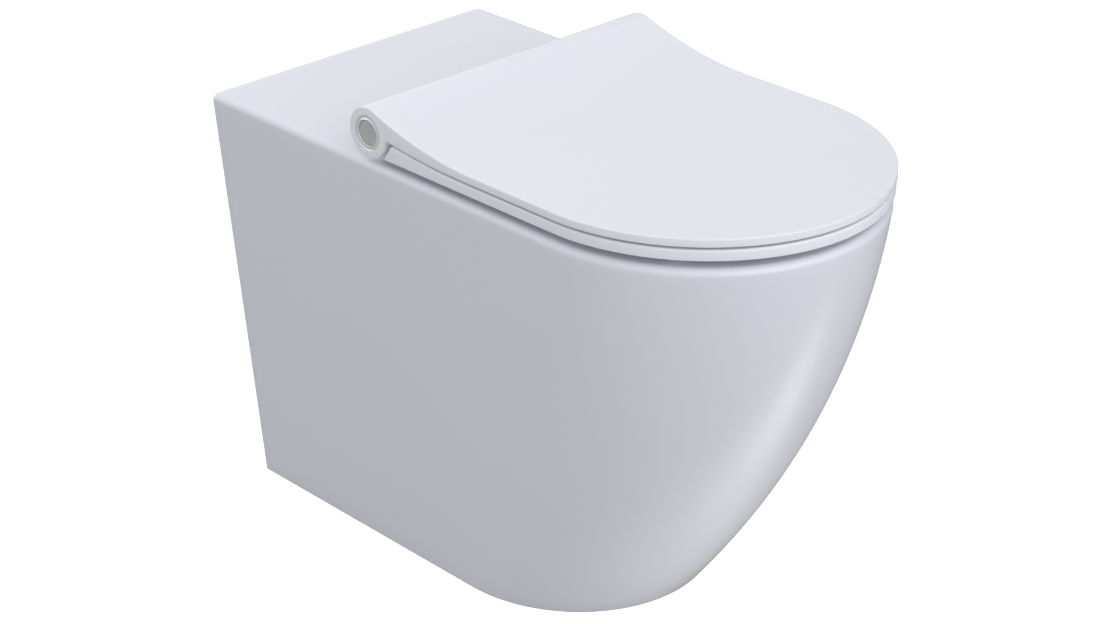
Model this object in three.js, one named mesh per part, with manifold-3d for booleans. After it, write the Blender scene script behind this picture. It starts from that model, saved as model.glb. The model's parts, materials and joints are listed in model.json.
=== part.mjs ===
// Wall-faced toilet pan with a slim soft-close seat, in millimetres, +Z up.
// The front faces -Y and the wall side +Y. The origin is under the middle of the whole object, on the floor.
// Inside the file, y is measured from the wall face: 0 at the wall and negative towards the front.
import * as THREE from "three";
import { mergeVertices } from "three/addons/utils/BufferGeometryUtils.js";
import Module from "manifold-3d";

const wasm = await Module();
wasm.setup();

// Pan, outside
const panWidth = 360;
const panDepth = 666;
const panHeight = 441;
const footWidth = 276;
const footDepth = 470;
const frontBulge = 0.74; // how far the front's side view bows outwards
const rimNose = 183; // length of the curved front in plan, at the rim
const footNose = 219; // and at the floor
const rimSquareness = 1.97; // superellipse power of the curved front, at the rim
const footSquareness = 2.17; // and at the floor
const rimRound = 8;
const panWall = 12;
const deckThickness = 16;

// Bowl and waterways
const bowlHalfWidth = 122;
const bowlHalfLength = 149;
const bowlFrontRim = 38; // rim width in front of the bowl
const bowlDepth = 327;
const sumpShare = 0.24; // the sump's size as a share of the bowl's mouth
const sumpShift = 74; // how far the sump lies behind the mouth's middle
const trapBore = 33;
const waterSeal = 50;
const outletHeight = 185;
const outletBore = 42;
const outletWall = 9;
const outletLength = 52;
const outletSetback = 12; // from the wall face
const inletHeight = 350;
const inletBore = 22;
const inletSocket = 28;
const inletWall = 8;
const inletSetback = 10;

// Seat
const seatGap = 9; // rim to ring
const ringThickness = 10.3;
const lidSlit = 2.8; // ring to lid
const lidThickness = 7.9;
const lidOverhang = 0.6; // each side, past the pan
const lidLip = 14;
const lidRecess = 3.5;
const ringHalfWidth = 112; // of the ring's opening
const ringHalfLength = 130;
const ringFrontWidth = 72;
const undersideRadius = 757; // upward sweep of the ring's top and the lid's underside
const undersideRun = 131; // where that sweep starts, in front of the hinge axis
const swoopRun = 146; // where the lid's top starts to rise to the barrel

// Hinge
const axisFromWall = 239;
const barrelRadius = 25;
const barrelWall = 4;
const barrelEndWall = 8; // around the chrome bezels
const barrelLift = 5; // deck to barrel
const barrelRingGap = 5.2; // barrel to the ring's rear face
const ringRearSlant = 3.5; // how much further forwards that face's top lies
const armLowering = 1; // ring's top to the top of its knuckle arms
const studSpacing = 155;
const lidSwing = 105; // degrees
const notchMargin = 8; // degrees, around what turns in a notch of the barrel
const postWidth = 14;
const postDepth = 22;
const knuckleLength = 38;
const knuckleWall = 4.5;
const knuckleGap = 2.5; // to the barrel's inside
const postEyeGap = 6; // to the barrel's inside
const pinRadius = 4.5;
const slotGap = 1.5; // sideways, between neighbours on the hinge axis
const baseRadius = 18;
const baseThickness = 3.7;
const bezelDepth = 9;
const bezelWidth = 4.6;
const discSetback = 0.9;
const trimChamfer = 1;
const sleeveKeyWidth = 4; // of the dampers' keys
const sleeveKeyHeight = 1.5;

// Deck fixings
const studRadius = 3;
const studLength = 50; // below the base plate
const studHeadRadius = 6;
const studHeadHeight = 5;
const studHeadRoom = 3; // above the head, in the post's socket
const deckHoleRadius = 7;
const washerRadius = 14;
const washerThickness = 2;
const nutRadius = 6.5;
const nutHeight = 8;
const nutWingSpan = 34;
const nutWingThickness = 3;

// Buffers and seals
const bufferRadius = 9;
const padRadius = 8; // of the buffers between lid and ring
const frontFoot = { share: 0.69, fromFront: 91 }; // share of the half-width, and setback from the pan's front
const rearFoot = { share: 0.82, fromAxis: 131 }; // setback from the hinge axis
const lidPad = { share: 0.65, fromFront: 106 };
const sealLength = 26;
const sealThickness = 4;

// Every pair of neighbours keeps this clearance.
const clearance = 0.3;
const past = 2; // how far a cutter reaches past what it cuts
const frontSegments = 28;
const roundSegments = 32;

// Heights and places that follow from the sizes above
const ringBottom = panHeight + seatGap;
const ringTop = ringBottom + ringThickness;
const lidBottom = ringTop + lidSlit;
const lidTop = lidBottom + lidThickness;
const axisHeight = panHeight + barrelLift + barrelRadius;
const axisY = -axisFromWall;
const lidHalfWidth = panWidth / 2 + lidOverhang;
const bowlCentreY = -(panDepth - bowlFrontRim - bowlHalfLength);
const bowlFloor = panHeight - bowlDepth;
const sumpY = bowlCentreY + sumpShift;
const barrelCavity = barrelRadius - barrelWall;
const postEyeRadius = barrelCavity - postEyeGap;
const knuckleRadius = barrelCavity - knuckleGap;
const knuckleBore = knuckleRadius - knuckleWall;
const bezelRadius = barrelRadius - barrelEndWall;
const discRadius = bezelRadius - bezelWidth;
const inletSocketDepth = sealLength + 2 * past;
const postHalfAngle = THREE.MathUtils.radToDeg(Math.asin(postDepth / 2 / barrelCavity));
const postNotch = [90 - postHalfAngle - notchMargin, 90 + postHalfAngle + notchMargin + lidSwing];
const knuckleNotch = [14, 75 + notchMargin + lidSwing];
const postInner = (studSpacing - postWidth) / 2;
const postOuter = (studSpacing + postWidth) / 2;
const knuckleInner = postOuter + slotGap;
const knuckleOuter = knuckleInner + knuckleLength;
const damperInner = knuckleOuter + slotGap;
const bezelInner = lidHalfWidth - bezelDepth;
const damperOuter = bezelInner - 2 * slotGap;
const deckBottom = panHeight - deckThickness;
const basePlateBottom = panHeight + clearance;
const basePlateTop = basePlateBottom + baseThickness;
const lowestLevel = -past;

const sides = [
  ["left", -1],
  ["right", 1],
];

// A closed solid from any closed geometry.
function solidOf(geometry) {
  const loose = geometry.index ? geometry.toNonIndexed() : geometry;
  const bare = new THREE.BufferGeometry();
  bare.setAttribute("position", loose.getAttribute("position"));
  const merged = mergeVertices(bare, 1e-4);
  const vertProperties = merged.getAttribute("position").array;
  const triVerts = new Uint32Array(merged.index.array);
  return new wasm.Manifold(new wasm.Mesh({ numProp: 3, vertProperties, triVerts }));
}

function geometryOf(solid) {
  const { vertProperties, triVerts } = solid.getMesh();
  const geometry = new THREE.BufferGeometry();
  geometry.setAttribute("position", new THREE.BufferAttribute(vertProperties, 3));
  geometry.setIndex(new THREE.BufferAttribute(triVerts, 1));
  geometry.computeVertexNormals();
  return geometry;
}

// Skin through rings of equally many points, each ring counter-clockwise seen from the end of the run,
// closed by a fan over the first and the last ring.
function skin(rings) {
  const count = rings[0].length;
  const middles = [rings[0], rings[rings.length - 1]].map((ring) =>
    ring.reduce((sum, p) => sum.add(p), new THREE.Vector3()).divideScalar(count),
  );
  const points = [...rings.flat(), ...middles];
  const first = rings.length * count;
  const top = (rings.length - 1) * count;
  const faces = [];
  for (let j = 0; j < count; j++) {
    const k = (j + 1) % count;
    for (let i = 0; i < top; i += count) {
      faces.push(i + j, i + k, i + count + k, i + j, i + count + k, i + count + j);
    }
    faces.push(first, k, j, first + 1, top + j, top + k);
  }
  const geometry = new THREE.BufferGeometry().setFromPoints(points);
  geometry.setIndex(faces);
  return solidOf(geometry);
}

function box(x0, x1, y0, y1, z0, z1) {
  const geometry = new THREE.BoxGeometry(x1 - x0, y1 - y0, z1 - z0);
  return solidOf(geometry.translate((x0 + x1) / 2, (y0 + y1) / 2, (z0 + z1) / 2));
}

// Cylinder along X between two stations, on the axis through (y, z).
function rodX(radius, x0, x1, y = axisY, z = axisHeight, segments = roundSegments) {
  const geometry = new THREE.CylinderGeometry(radius, radius, Math.abs(x1 - x0), segments);
  return solidOf(geometry.rotateZ(Math.PI / 2).translate((x0 + x1) / 2, y, z));
}

// Cylinder along Y between two stations, on the axis through (x, z).
function rodY(radius, y0, y1, x, z) {
  const geometry = new THREE.CylinderGeometry(radius, radius, y1 - y0, roundSegments);
  return solidOf(geometry.translate(x, (y0 + y1) / 2, z));
}

// Upright cylinder between two heights, centred on (x, y).
function rodZ(radius, z0, z1, x = 0, y = 0, segments = roundSegments) {
  const geometry = new THREE.CylinderGeometry(radius, radius, z1 - z0, segments);
  return solidOf(geometry.rotateX(Math.PI / 2).translate(x, y, (z0 + z1) / 2));
}

// Side-view outline in (y, z), carried across from x0 to x1.
function acrossX(outline, x0, x1) {
  const geometry = new THREE.ExtrudeGeometry(new THREE.Shape(outline), {
    depth: x1 - x0,
    bevelEnabled: false,
  });
  const toY = new THREE.Vector3(0, 1, 0);
  const toZ = new THREE.Vector3(0, 0, 1);
  const toX = new THREE.Vector3(1, 0, 0);
  geometry.applyMatrix4(new THREE.Matrix4().makeBasis(toY, toZ, toX));
  return solidOf(geometry.translate(x0, 0, 0));
}

// D-shaped ring in plan: straight back at y = back, straight sides, and a superellipse front.
function planRing({ halfWidth, front, nose, power }, back, heightAt) {
  const ring = [new THREE.Vector3(halfWidth, back, 0), new THREE.Vector3(-halfWidth, back, 0)];
  for (let i = 0; i <= frontSegments; i++) {
    const angle = (Math.PI * i) / frontSegments;
    const across = Math.sign(Math.cos(angle)) * Math.abs(Math.cos(angle)) ** (2 / power);
    const along = Math.sin(angle) ** (2 / power);
    ring.push(new THREE.Vector3(-halfWidth * across, -(front - nose) - nose * along, 0));
  }
  ring.forEach((p) => p.setZ(heightAt));
  return ring;
}

// The pan's outline at a height, drawn in by an inset.
function panOutline(height, inset = 0) {
  const t = height / panHeight;
  return {
    halfWidth: (footWidth + (panWidth - footWidth) * t) / 2 - inset,
    front: footDepth + (panDepth - footDepth) * (t + frontBulge * t * (1 - t)) - inset,
    nose: footNose + (rimNose - footNose) * t - inset,
    power: footSquareness + (rimSquareness - footSquareness) * t,
  };
}

// The seat's outline follows the pan's rim.
function seatOutline(overhang) {
  return panOutline(panHeight, -overhang);
}

function panShell() {
  const levels = 8;
  const roundSteps = 4;
  const straightTop = panHeight - rimRound;
  const outside = [];
  const inside = [planRing(panOutline(lowestLevel, panWall), past, lowestLevel)];
  for (let i = 0; i <= levels; i++) {
    const z = (straightTop * i) / levels;
    outside.push(planRing(panOutline(z), 0, z));
    if (i > 0 && z < deckBottom) inside.push(planRing(panOutline(z, panWall), past, z));
  }
  for (let i = 1; i <= roundSteps; i++) {
    const angle = (Math.PI / 2) * (i / roundSteps);
    const z = straightTop + rimRound * Math.sin(angle);
    outside.push(planRing(panOutline(z, rimRound * (1 - Math.cos(angle))), 0, z));
  }
  inside.push(planRing(panOutline(deckBottom, panWall), past, deckBottom));
  return skin(outside).subtract(skin(inside));
}

// Oval rings that narrow from the bowl's mouth to its sump, grown outwards by a wall.
function bowlForm(grow, topHeight) {
  const steps = 11;
  const ovalAt = (s, z) => {
    const share = sumpShare + (1 - sumpShare) * (1 - s ** 1.6) ** 1.5;
    const centre = bowlCentreY + sumpShift * s;
    return Array.from({ length: 36 }, (_, j) => {
      const angle = (2 * Math.PI * j) / 36;
      const x = (bowlHalfWidth * share + grow) * Math.cos(angle);
      return new THREE.Vector3(x, centre + (bowlHalfLength * share + grow) * Math.sin(angle), z);
    });
  };
  const rings = [];
  for (let i = steps; i >= 0; i--) {
    const s = i / steps;
    rings.push(ovalAt(s, panHeight - s * (bowlDepth + grow)));
  }
  if (topHeight > panHeight) rings.push(ovalAt(0, topHeight));
  return skin(rings);
}

// Round tube along a curve in the plane x = 0.
function tube(curve, radius, steps) {
  const across = new THREE.Vector3(1, 0, 0);
  const rings = Array.from({ length: steps + 1 }, (_, i) => {
    const centre = curve.getPointAt(i / steps);
    const up = curve.getTangentAt(i / steps).cross(across);
    return Array.from({ length: 20 }, (_, j) => {
      const angle = (2 * Math.PI * j) / 20;
      const out = across.clone().multiplyScalar(radius * Math.cos(angle));
      return out.addScaledVector(up, radius * Math.sin(angle)).add(centre);
    });
  });
  return skin(rings);
}

function curveThrough(points) {
  return new THREE.CatmullRomCurve3(points.map(([y, z]) => new THREE.Vector3(0, y, z)));
}

const outletStart = -(outletSetback + outletLength);
const trapMouth = bowlFloor + trapBore;
const weirCentre = bowlFloor + 2 * trapBore + waterSeal + trapBore;
const outletRadius = outletBore + outletWall;
const inletRadius = inletSocket + inletWall;

// From the sump down and back, up over the weir and down to the outlet.
function trapCurve() {
  const reach = outletStart - sumpY; // from the sump to the outlet spigot
  return curveThrough([
    [sumpY + 0.04 * reach, trapMouth + 1],
    [sumpY + 0.24 * reach, trapMouth + 8],
    [sumpY + 0.42 * reach, (trapMouth + weirCentre) / 2],
    [sumpY + 0.57 * reach, weirCentre],
    [sumpY + 0.78 * reach, (weirCentre + outletHeight) / 2 + 8],
    [sumpY + 0.95 * reach, outletHeight + 2],
    [outletStart + 8, outletHeight],
  ]);
}

// From the flush inlet forward and up to the back of the bowl, just under the deck.
function inletCurve() {
  const bowlBack = bowlCentreY + bowlHalfLength;
  const high = deckBottom - inletBore - clearance;
  const start = -inletSetback - inletSocketDepth + past;
  return curveThrough([
    [start, inletHeight],
    [start + 0.3 * (bowlBack - start), inletHeight],
    [start + 0.7 * (bowlBack - start), (inletHeight + high) / 2 + 6],
    [bowlBack - past, high - 2],
    [bowlBack - 3 * past - panWall, high],
  ]);
}

function panSolid() {
  const socketFront = -inletSetback - inletSocketDepth;
  const walls = [
    bowlForm(panWall, panHeight),
    tube(trapCurve(), trapBore + panWall, 22),
    rodY(outletRadius, outletStart - panWall, -outletSetback, 0, outletHeight),
    tube(inletCurve(), inletBore + panWall, 10),
    rodY(inletRadius, socketFront - panWall, -inletSetback, 0, inletHeight),
  ];
  const cuts = [
    bowlForm(0, panHeight + past),
    tube(trapCurve(), trapBore, 22),
    rodY(outletBore, outletStart, -outletSetback + past, 0, outletHeight),
    tube(inletCurve(), inletBore, 10),
    rodY(inletSocket, socketFront, -inletSetback + past, 0, inletHeight),
    ...sides.map(([, sign]) => {
      const x = (sign * studSpacing) / 2;
      return rodZ(deckHoleRadius, deckBottom - past, panHeight + past, x, axisY, 24);
    }),
  ];
  const whole = walls.reduce((sum, piece) => sum.add(piece), panShell());
  const top = box(-panWidth, panWidth, -2 * panDepth, panDepth, panHeight, panHeight + panDepth);
  return cuts.reduce((rest, cut) => rest.subtract(cut), whole.subtract(top));
}

// Height that the upward sweep adds at y, for the ring's top and the lid's underside.
function sweepRise(y) {
  const along = Math.max(0, y + axisFromWall + undersideRun);
  return undersideRadius - Math.sqrt(undersideRadius ** 2 - along ** 2);
}

// Points of a side-view sweep from its start to y = end, on a base height.
function sweepPoints(base, end) {
  const steps = 8;
  const start = axisY - undersideRun;
  return Array.from({ length: steps + 1 }, (_, i) => {
    const y = start + ((end - start) * i) / steps;
    return new THREE.Vector2(y, base + sweepRise(y));
  });
}

// The lid's top leaves the flat in an arc that is tangent to the flat and to the barrel.
function lidTopPoints() {
  const radius = (swoopRun ** 2 - barrelRadius ** 2) / (2 * barrelRadius);
  const full = Math.atan2(swoopRun, radius);
  const steps = 12;
  const rise = axisHeight - lidTop;
  return Array.from({ length: steps + 1 }, (_, i) => {
    const angle = (full * i) / steps;
    const lift = (rise * i) / steps;
    const y = axisY - swoopRun + radius * Math.sin(angle);
    return new THREE.Vector2(y, lidTop + lift + radius * (1 - Math.cos(angle)));
  });
}

// Wedge about the hinge axis between two angles: 0 points forwards, 90 down and 180 to the wall.
function wedge(from, to, radius, x0, x1) {
  const steps = 10;
  const rim = Array.from({ length: steps + 1 }, (_, i) => {
    const angle = THREE.MathUtils.degToRad(from + ((to - from) * i) / steps);
    return new THREE.Vector2(axisY - radius * Math.cos(angle), axisHeight - radius * Math.sin(angle));
  });
  return acrossX([new THREE.Vector2(axisY, axisHeight), ...rim], x0, x1);
}

function lidSolid() {
  const outline = seatOutline(lidOverhang);
  const plan = [lidBottom - past, axisHeight + 2 * barrelRadius].map((z) => planRing(outline, axisY, z));
  const frontEnd = -(panDepth + lidOverhang + past);
  const side = [
    new THREE.Vector2(frontEnd, lidBottom),
    ...sweepPoints(lidBottom, axisY - barrelRadius + 1),
    new THREE.Vector2(axisY, axisHeight),
    ...lidTopPoints().reverse(),
    new THREE.Vector2(frontEnd, lidTop),
  ];
  const plate = skin(plan).intersect(acrossX(side, -lidHalfWidth - past, lidHalfWidth + past));
  const recessBack = axisY - undersideRun - lidLip;
  const recessOutline = seatOutline(lidOverhang - lidLip);
  const recessHeights = [lidBottom - past, lidBottom + lidRecess];
  const recess = skin(recessHeights.map((z) => planRing(recessOutline, recessBack, z)));
  let lid = rodX(barrelRadius, -lidHalfWidth, lidHalfWidth).add(plate).subtract(recess);
  for (const [, sign] of sides) {
    const between = (a, b) => [sign * a, sign * b].sort((p, q) => p - q);
    const postSpan = between(postInner - slotGap, knuckleInner);
    const knuckleSpan = between(knuckleInner - slotGap, knuckleOuter + slotGap);
    const endSpan = between(damperInner, lidHalfWidth + past);
    const innerSpan = between(postInner - slotGap - 2 * barrelWall, damperInner);
    lid = lid
      .subtract(rodX(barrelCavity, ...postSpan))
      .subtract(rodX(barrelCavity, ...knuckleSpan))
      .subtract(wedge(...postNotch, barrelRadius + past, ...postSpan))
      .subtract(wedge(...knuckleNotch, barrelRadius + past, ...knuckleSpan))
      .subtract(rodX(bezelRadius + clearance, ...endSpan))
      .subtract(rodX(pinRadius + clearance, ...innerSpan));
  }
  return lid;
}

function ringSolid() {
  const outline = seatOutline(0);
  const plan = [ringBottom - past, axisHeight].map((z) => planRing(outline, axisY, z));
  const frontEnd = -(panDepth + past);
  const rearReach = barrelRadius + barrelRingGap;
  const bottomRear = axisY - Math.sqrt(rearReach ** 2 - (axisHeight - ringBottom) ** 2);
  const topRear = axisY - rearReach - ringRearSlant;
  const side = [
    new THREE.Vector2(frontEnd, ringBottom),
    new THREE.Vector2(bottomRear, ringBottom),
    ...sweepPoints(ringTop, topRear).reverse(),
    new THREE.Vector2(frontEnd, ringTop),
  ];
  const plate = skin(plan).intersect(acrossX(side, -panWidth, panWidth));
  const centre = -(panDepth - ringFrontWidth - ringHalfLength);
  const hole = [ringBottom - past, ringTop + past].map((z) =>
    Array.from({ length: 48 }, (_, j) => {
      const angle = (2 * Math.PI * j) / 48;
      return new THREE.Vector3(
        ringHalfWidth * Math.cos(angle),
        centre + ringHalfLength * Math.sin(angle),
        z,
      );
    }),
  );
  let ring = plate.subtract(skin(hole));
  for (const [, sign] of sides) {
    const span = [sign * knuckleInner, sign * knuckleOuter].sort((a, b) => a - b);
    const armRear = axisY - (knuckleRadius + knuckleBore) / 2 + 2 * past + slotGap;
    ring = ring
      .add(box(...span, bottomRear - 2 * past, armRear, ringBottom, ringTop - armLowering))
      .add(rodX(knuckleRadius, ...span))
      .subtract(rodX(knuckleBore + clearance, span[0] - past, span[1] + past));
  }
  return ring;
}

function postSolid(sign) {
  const x = (sign * studSpacing) / 2;
  const half = postWidth / 2;
  const bottom = basePlateTop + clearance;
  const socketTop = bottom + studHeadHeight + studHeadRoom;
  return rodX(postEyeRadius, x - half, x + half)
    .add(box(x - half, x + half, axisY - postDepth / 2, axisY + postDepth / 2, bottom, axisHeight))
    .subtract(rodX(pinRadius + clearance, x - half - past, x + half + past))
    .subtract(rodZ(studHeadRadius + clearance, bottom - past, socketTop, x, axisY, 24));
}

// Round solid with a round hole, turned about its own Z axis, from its base upwards.
function washer(inner, outer, height, segments = roundSegments) {
  const outline = [
    new THREE.Vector2(inner, 0),
    new THREE.Vector2(outer, 0),
    new THREE.Vector2(outer, height),
    new THREE.Vector2(inner, height),
    new THREE.Vector2(inner, 0),
  ];
  return solidOf(new THREE.LatheGeometry(outline, segments).rotateX(Math.PI / 2));
}

// Sleeve on the hinge pin with two keys that stop it turning in its housing.
function keyedSleeve(outer, length) {
  const body = washer(pinRadius + clearance, outer - sleeveKeyHeight, length);
  const half = sleeveKeyWidth / 2;
  const key = box(-half, half, -outer + clearance, outer - clearance, clearance, length - clearance);
  return body.add(key.subtract(rodZ(pinRadius + 2 * clearance, -past, length + past)));
}

function plainSleeve(outer, length) {
  return washer(pinRadius + clearance, outer, length);
}

function bezelSolid() {
  const outer = bezelRadius;
  const outline = [
    new THREE.Vector2(discRadius, 0),
    new THREE.Vector2(outer, 0),
    new THREE.Vector2(outer, bezelDepth - trimChamfer),
    new THREE.Vector2(outer - trimChamfer, bezelDepth),
    new THREE.Vector2(discRadius + trimChamfer, bezelDepth),
    new THREE.Vector2(discRadius, bezelDepth - trimChamfer),
    new THREE.Vector2(discRadius, 0),
  ];
  return solidOf(new THREE.LatheGeometry(outline, roundSegments).rotateX(Math.PI / 2));
}

// Headed stud, standing down from the base plate.
function studSolid() {
  return rodZ(studRadius, -studLength, studHeadHeight / 2, 0, 0, 20)
    .add(rodZ(studHeadRadius, clearance, clearance + studHeadHeight, 0, 0, 24));
}

function wingNutSolid() {
  const span = nutWingSpan / 2;
  const half = nutWingThickness / 2;
  const wing = box(-span, span, -half, half, 0, nutHeight);
  return rodZ(nutRadius, 0, nutHeight, 0, 0, 24)
    .add(wing)
    .subtract(rodZ(studRadius + clearance, -past, nutHeight + past, 0, 0, 20));
}

// Rubber sleeve in a deck hole, with a flange under the deck.
function sleeveSolid() {
  const flange = washerThickness;
  const inner = studRadius + clearance;
  const outer = deckHoleRadius - clearance;
  const outline = [
    new THREE.Vector2(inner, 0),
    new THREE.Vector2(washerRadius, 0),
    new THREE.Vector2(washerRadius, flange),
    new THREE.Vector2(outer, flange),
    new THREE.Vector2(outer, flange + deckThickness),
    new THREE.Vector2(inner, flange + deckThickness),
    new THREE.Vector2(inner, 0),
  ];
  return { solid: solidOf(new THREE.LatheGeometry(outline, 24).rotateX(Math.PI / 2)), flange };
}

const ceramic = new THREE.MeshStandardMaterial({ color: 0xe2e4ec, roughness: 0.12, metalness: 0 });
const seatPlastic = new THREE.MeshStandardMaterial({ color: 0xe8eaf2, roughness: 0.28, metalness: 0 });
const hingePlastic = new THREE.MeshStandardMaterial({ color: 0xd2d4da, roughness: 0.45, metalness: 0 });
const chrome = new THREE.MeshStandardMaterial({ color: 0xd8dadf, roughness: 0.15, metalness: 1 });
const capGrey = new THREE.MeshStandardMaterial({ color: 0xa8a8ad, roughness: 0.4, metalness: 0 });
const steel = new THREE.MeshStandardMaterial({ color: 0xb4b6ba, roughness: 0.3, metalness: 1 });
const rubber = new THREE.MeshStandardMaterial({ color: 0xc4c6cb, roughness: 0.8, metalness: 0 });
const darkRubber = new THREE.MeshStandardMaterial({ color: 0x2c2d30, roughness: 0.8, metalness: 0 });

const toilet = new THREE.Group();
const fromWall = new THREE.Group();
fromWall.position.y = (panDepth + lidOverhang) / 2;
toilet.add(fromWall);

function place(name, solid, material, position = [0, 0, 0], rotation = [0, 0, 0]) {
  const mesh = new THREE.Mesh(geometryOf(solid), material);
  mesh.name = name;
  mesh.position.set(...position);
  mesh.rotation.set(...rotation);
  fromWall.add(mesh);
}

place("pan", panSolid(), ceramic);
place("lid", lidSolid(), seatPlastic);
place("seat_ring", ringSolid(), seatPlastic);

// Sleeves on the hinge axis: their own Z axis is turned to point outwards.
function onAxis(name, sign, solid, material, station) {
  place(name, solid, material, [sign * station, axisY, axisHeight], [0, (sign * Math.PI) / 2, 0]);
}

const damperLength = damperOuter - damperInner;
const bushLength = knuckleLength - 2 * clearance;
for (const [side, sign] of sides) {
  const x = (sign * studSpacing) / 2;
  const { solid: sleeve, flange } = sleeveSolid();
  const sleeveBottom = deckBottom - clearance - flange;
  const washerBottom = sleeveBottom - clearance - washerThickness;
  place("hinge_post_" + side, postSolid(sign), hingePlastic);
  const basePlate = washer(studRadius + clearance, baseRadius, baseThickness);
  place("hinge_base_" + side, basePlate, chrome, [x, axisY, basePlateBottom]);
  place("seat_stud_" + side, studSolid(), steel, [x, axisY, basePlateTop]);
  place("stud_sleeve_" + side, sleeve, darkRubber, [x, axisY, sleeveBottom]);
  const stainless = washer(studRadius + clearance, washerRadius, washerThickness, 24);
  place("stud_washer_" + side, stainless, steel, [x, axisY, washerBottom]);
  place("wing_nut_" + side, wingNutSolid(), hingePlastic, [x, axisY, washerBottom - clearance - nutHeight]);
  const pinLength = damperOuter - clearance - postInner;
  onAxis("hinge_pin_" + side, sign, rodZ(pinRadius, 0, pinLength, 0, 0, 24), steel, postInner);
  onAxis("end_bezel_" + side, sign, bezelSolid(), chrome, bezelInner);
  const disc = rodZ(discRadius - clearance, 0, bezelDepth - discSetback);
  onAxis("end_disc_" + side, sign, disc, capGrey, bezelInner);
}
onAxis("lid_damper_left", -1, keyedSleeve(bezelRadius, damperLength), hingePlastic, damperInner + clearance);
onAxis("lid_bush_right", 1, plainSleeve(bezelRadius, damperLength), hingePlastic, damperInner + clearance);
onAxis("ring_damper_right", 1, keyedSleeve(knuckleBore, bushLength), hingePlastic, knuckleInner + clearance);
onAxis("ring_bush_left", -1, plainSleeve(knuckleBore, bushLength), hingePlastic, knuckleInner + clearance);

// Rubber feet under the ring stand between the bowl's mouth and the rim's edge.
const feet = [
  ["front", frontFoot.share, frontFoot.fromFront - panDepth],
  ["rear", rearFoot.share, axisY - rearFoot.fromAxis],
];
for (const [side, sign] of sides) {
  for (const [end, share, y] of feet) {
    const foot = rodZ(bufferRadius, panHeight + clearance, ringBottom - clearance);
    place("ring_buffer_" + end + "_" + side, foot, rubber, [(sign * share * panWidth) / 2, y, 0]);
  }
  const pad = rodZ(padRadius, ringTop + clearance, lidBottom + lidRecess - clearance);
  const x = (sign * lidPad.share * panWidth) / 2;
  place("lid_buffer_" + side, pad, rubber, [x, lidPad.fromFront - panDepth, 0]);
}

const inletSeal = washer(inletSocket - sealThickness, inletSocket - clearance, sealLength);
place("inlet_seal", inletSeal, darkRubber, [0, -inletSetback - past, inletHeight], [Math.PI / 2, 0, 0]);
const outletSeal = washer(outletRadius + clearance, outletRadius + clearance + sealThickness, sealLength);
place("outlet_seal", outletSeal, rubber, [0, -outletSetback - past, outletHeight], [Math.PI / 2, 0, 0]);

export default toilet;
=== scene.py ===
"""Wall-faced toilet pan with a slim soft-close seat.

Lengths are in metres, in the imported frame: +Z up, the front towards -Y, the floor at z = 0.
Depths along Y are measured from the wall face, negative towards the front. WALL brings them into the frame.
"""
import json
import math

import bmesh
import bpy
import numpy as np
from bpy.props import FloatProperty, FloatVectorProperty, PointerProperty
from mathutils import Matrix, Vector


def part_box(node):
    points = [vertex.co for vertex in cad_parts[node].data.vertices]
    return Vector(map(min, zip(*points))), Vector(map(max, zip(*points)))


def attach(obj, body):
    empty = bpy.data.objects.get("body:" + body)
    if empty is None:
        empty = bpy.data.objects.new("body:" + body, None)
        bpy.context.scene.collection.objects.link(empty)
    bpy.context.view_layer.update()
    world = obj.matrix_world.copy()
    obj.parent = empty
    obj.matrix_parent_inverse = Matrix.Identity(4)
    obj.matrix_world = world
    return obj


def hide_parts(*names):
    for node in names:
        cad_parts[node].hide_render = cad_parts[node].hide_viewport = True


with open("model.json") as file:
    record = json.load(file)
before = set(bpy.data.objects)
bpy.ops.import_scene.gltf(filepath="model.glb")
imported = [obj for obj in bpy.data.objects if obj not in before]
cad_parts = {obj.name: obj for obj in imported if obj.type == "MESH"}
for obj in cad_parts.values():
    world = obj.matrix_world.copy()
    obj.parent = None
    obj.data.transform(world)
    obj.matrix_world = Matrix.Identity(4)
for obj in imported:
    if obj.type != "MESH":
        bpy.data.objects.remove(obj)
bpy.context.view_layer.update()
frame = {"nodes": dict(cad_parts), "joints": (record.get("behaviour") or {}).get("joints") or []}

bl_info = {
    "name": "Wall-faced toilet",
    "version": (1, 0, 0),
    "blender": (4, 5, 0),
    "location": "3D View > Sidebar > Toilet",
    "description": "Builds a glazed wall-faced pan with a slim soft-close seat around its packed frame",
    "category": "Add Mesh",
}

PAN_LOW, PAN_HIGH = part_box("pan")
LID_LOW, LID_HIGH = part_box("lid")
RING_LOW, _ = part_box("seat_ring")
POST_LOW, POST_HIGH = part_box("hinge_post_right")
BEZEL_LOW, BEZEL_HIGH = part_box("end_bezel_right")
DISC_LOW, DISC_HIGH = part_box("end_disc_right")
KNUCKLE_LOW, KNUCKLE_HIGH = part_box("ring_damper_right")
WALL = PAN_HIGH.y
AXIS = Vector(frame["joints"][0]["pos_m"])
SIDES = (("left", -1), ("right", 1))
BARREL_RADIUS = LID_HIGH.z - AXIS.z
AXIS_DEPTH = AXIS.y - WALL
ON_AXIS = (0, AXIS.y, AXIS.z)

# Points around a plan outline: along the back, each corner, each side and the curved front
BACK_POINTS = 24
CORNER_POINTS = 5
SIDE_POINTS = 44
NOSE_POINTS = 150
ROUND_STEPS = 6

# A quarter round of radius 1, from its side to its end: how far it draws in, and how far it goes along
QUARTER = np.linspace(0, math.pi / 2, ROUND_STEPS + 1)
DRAWN = 1 - np.sin(QUARTER)
GONE = 1 - np.cos(QUARTER)

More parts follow.
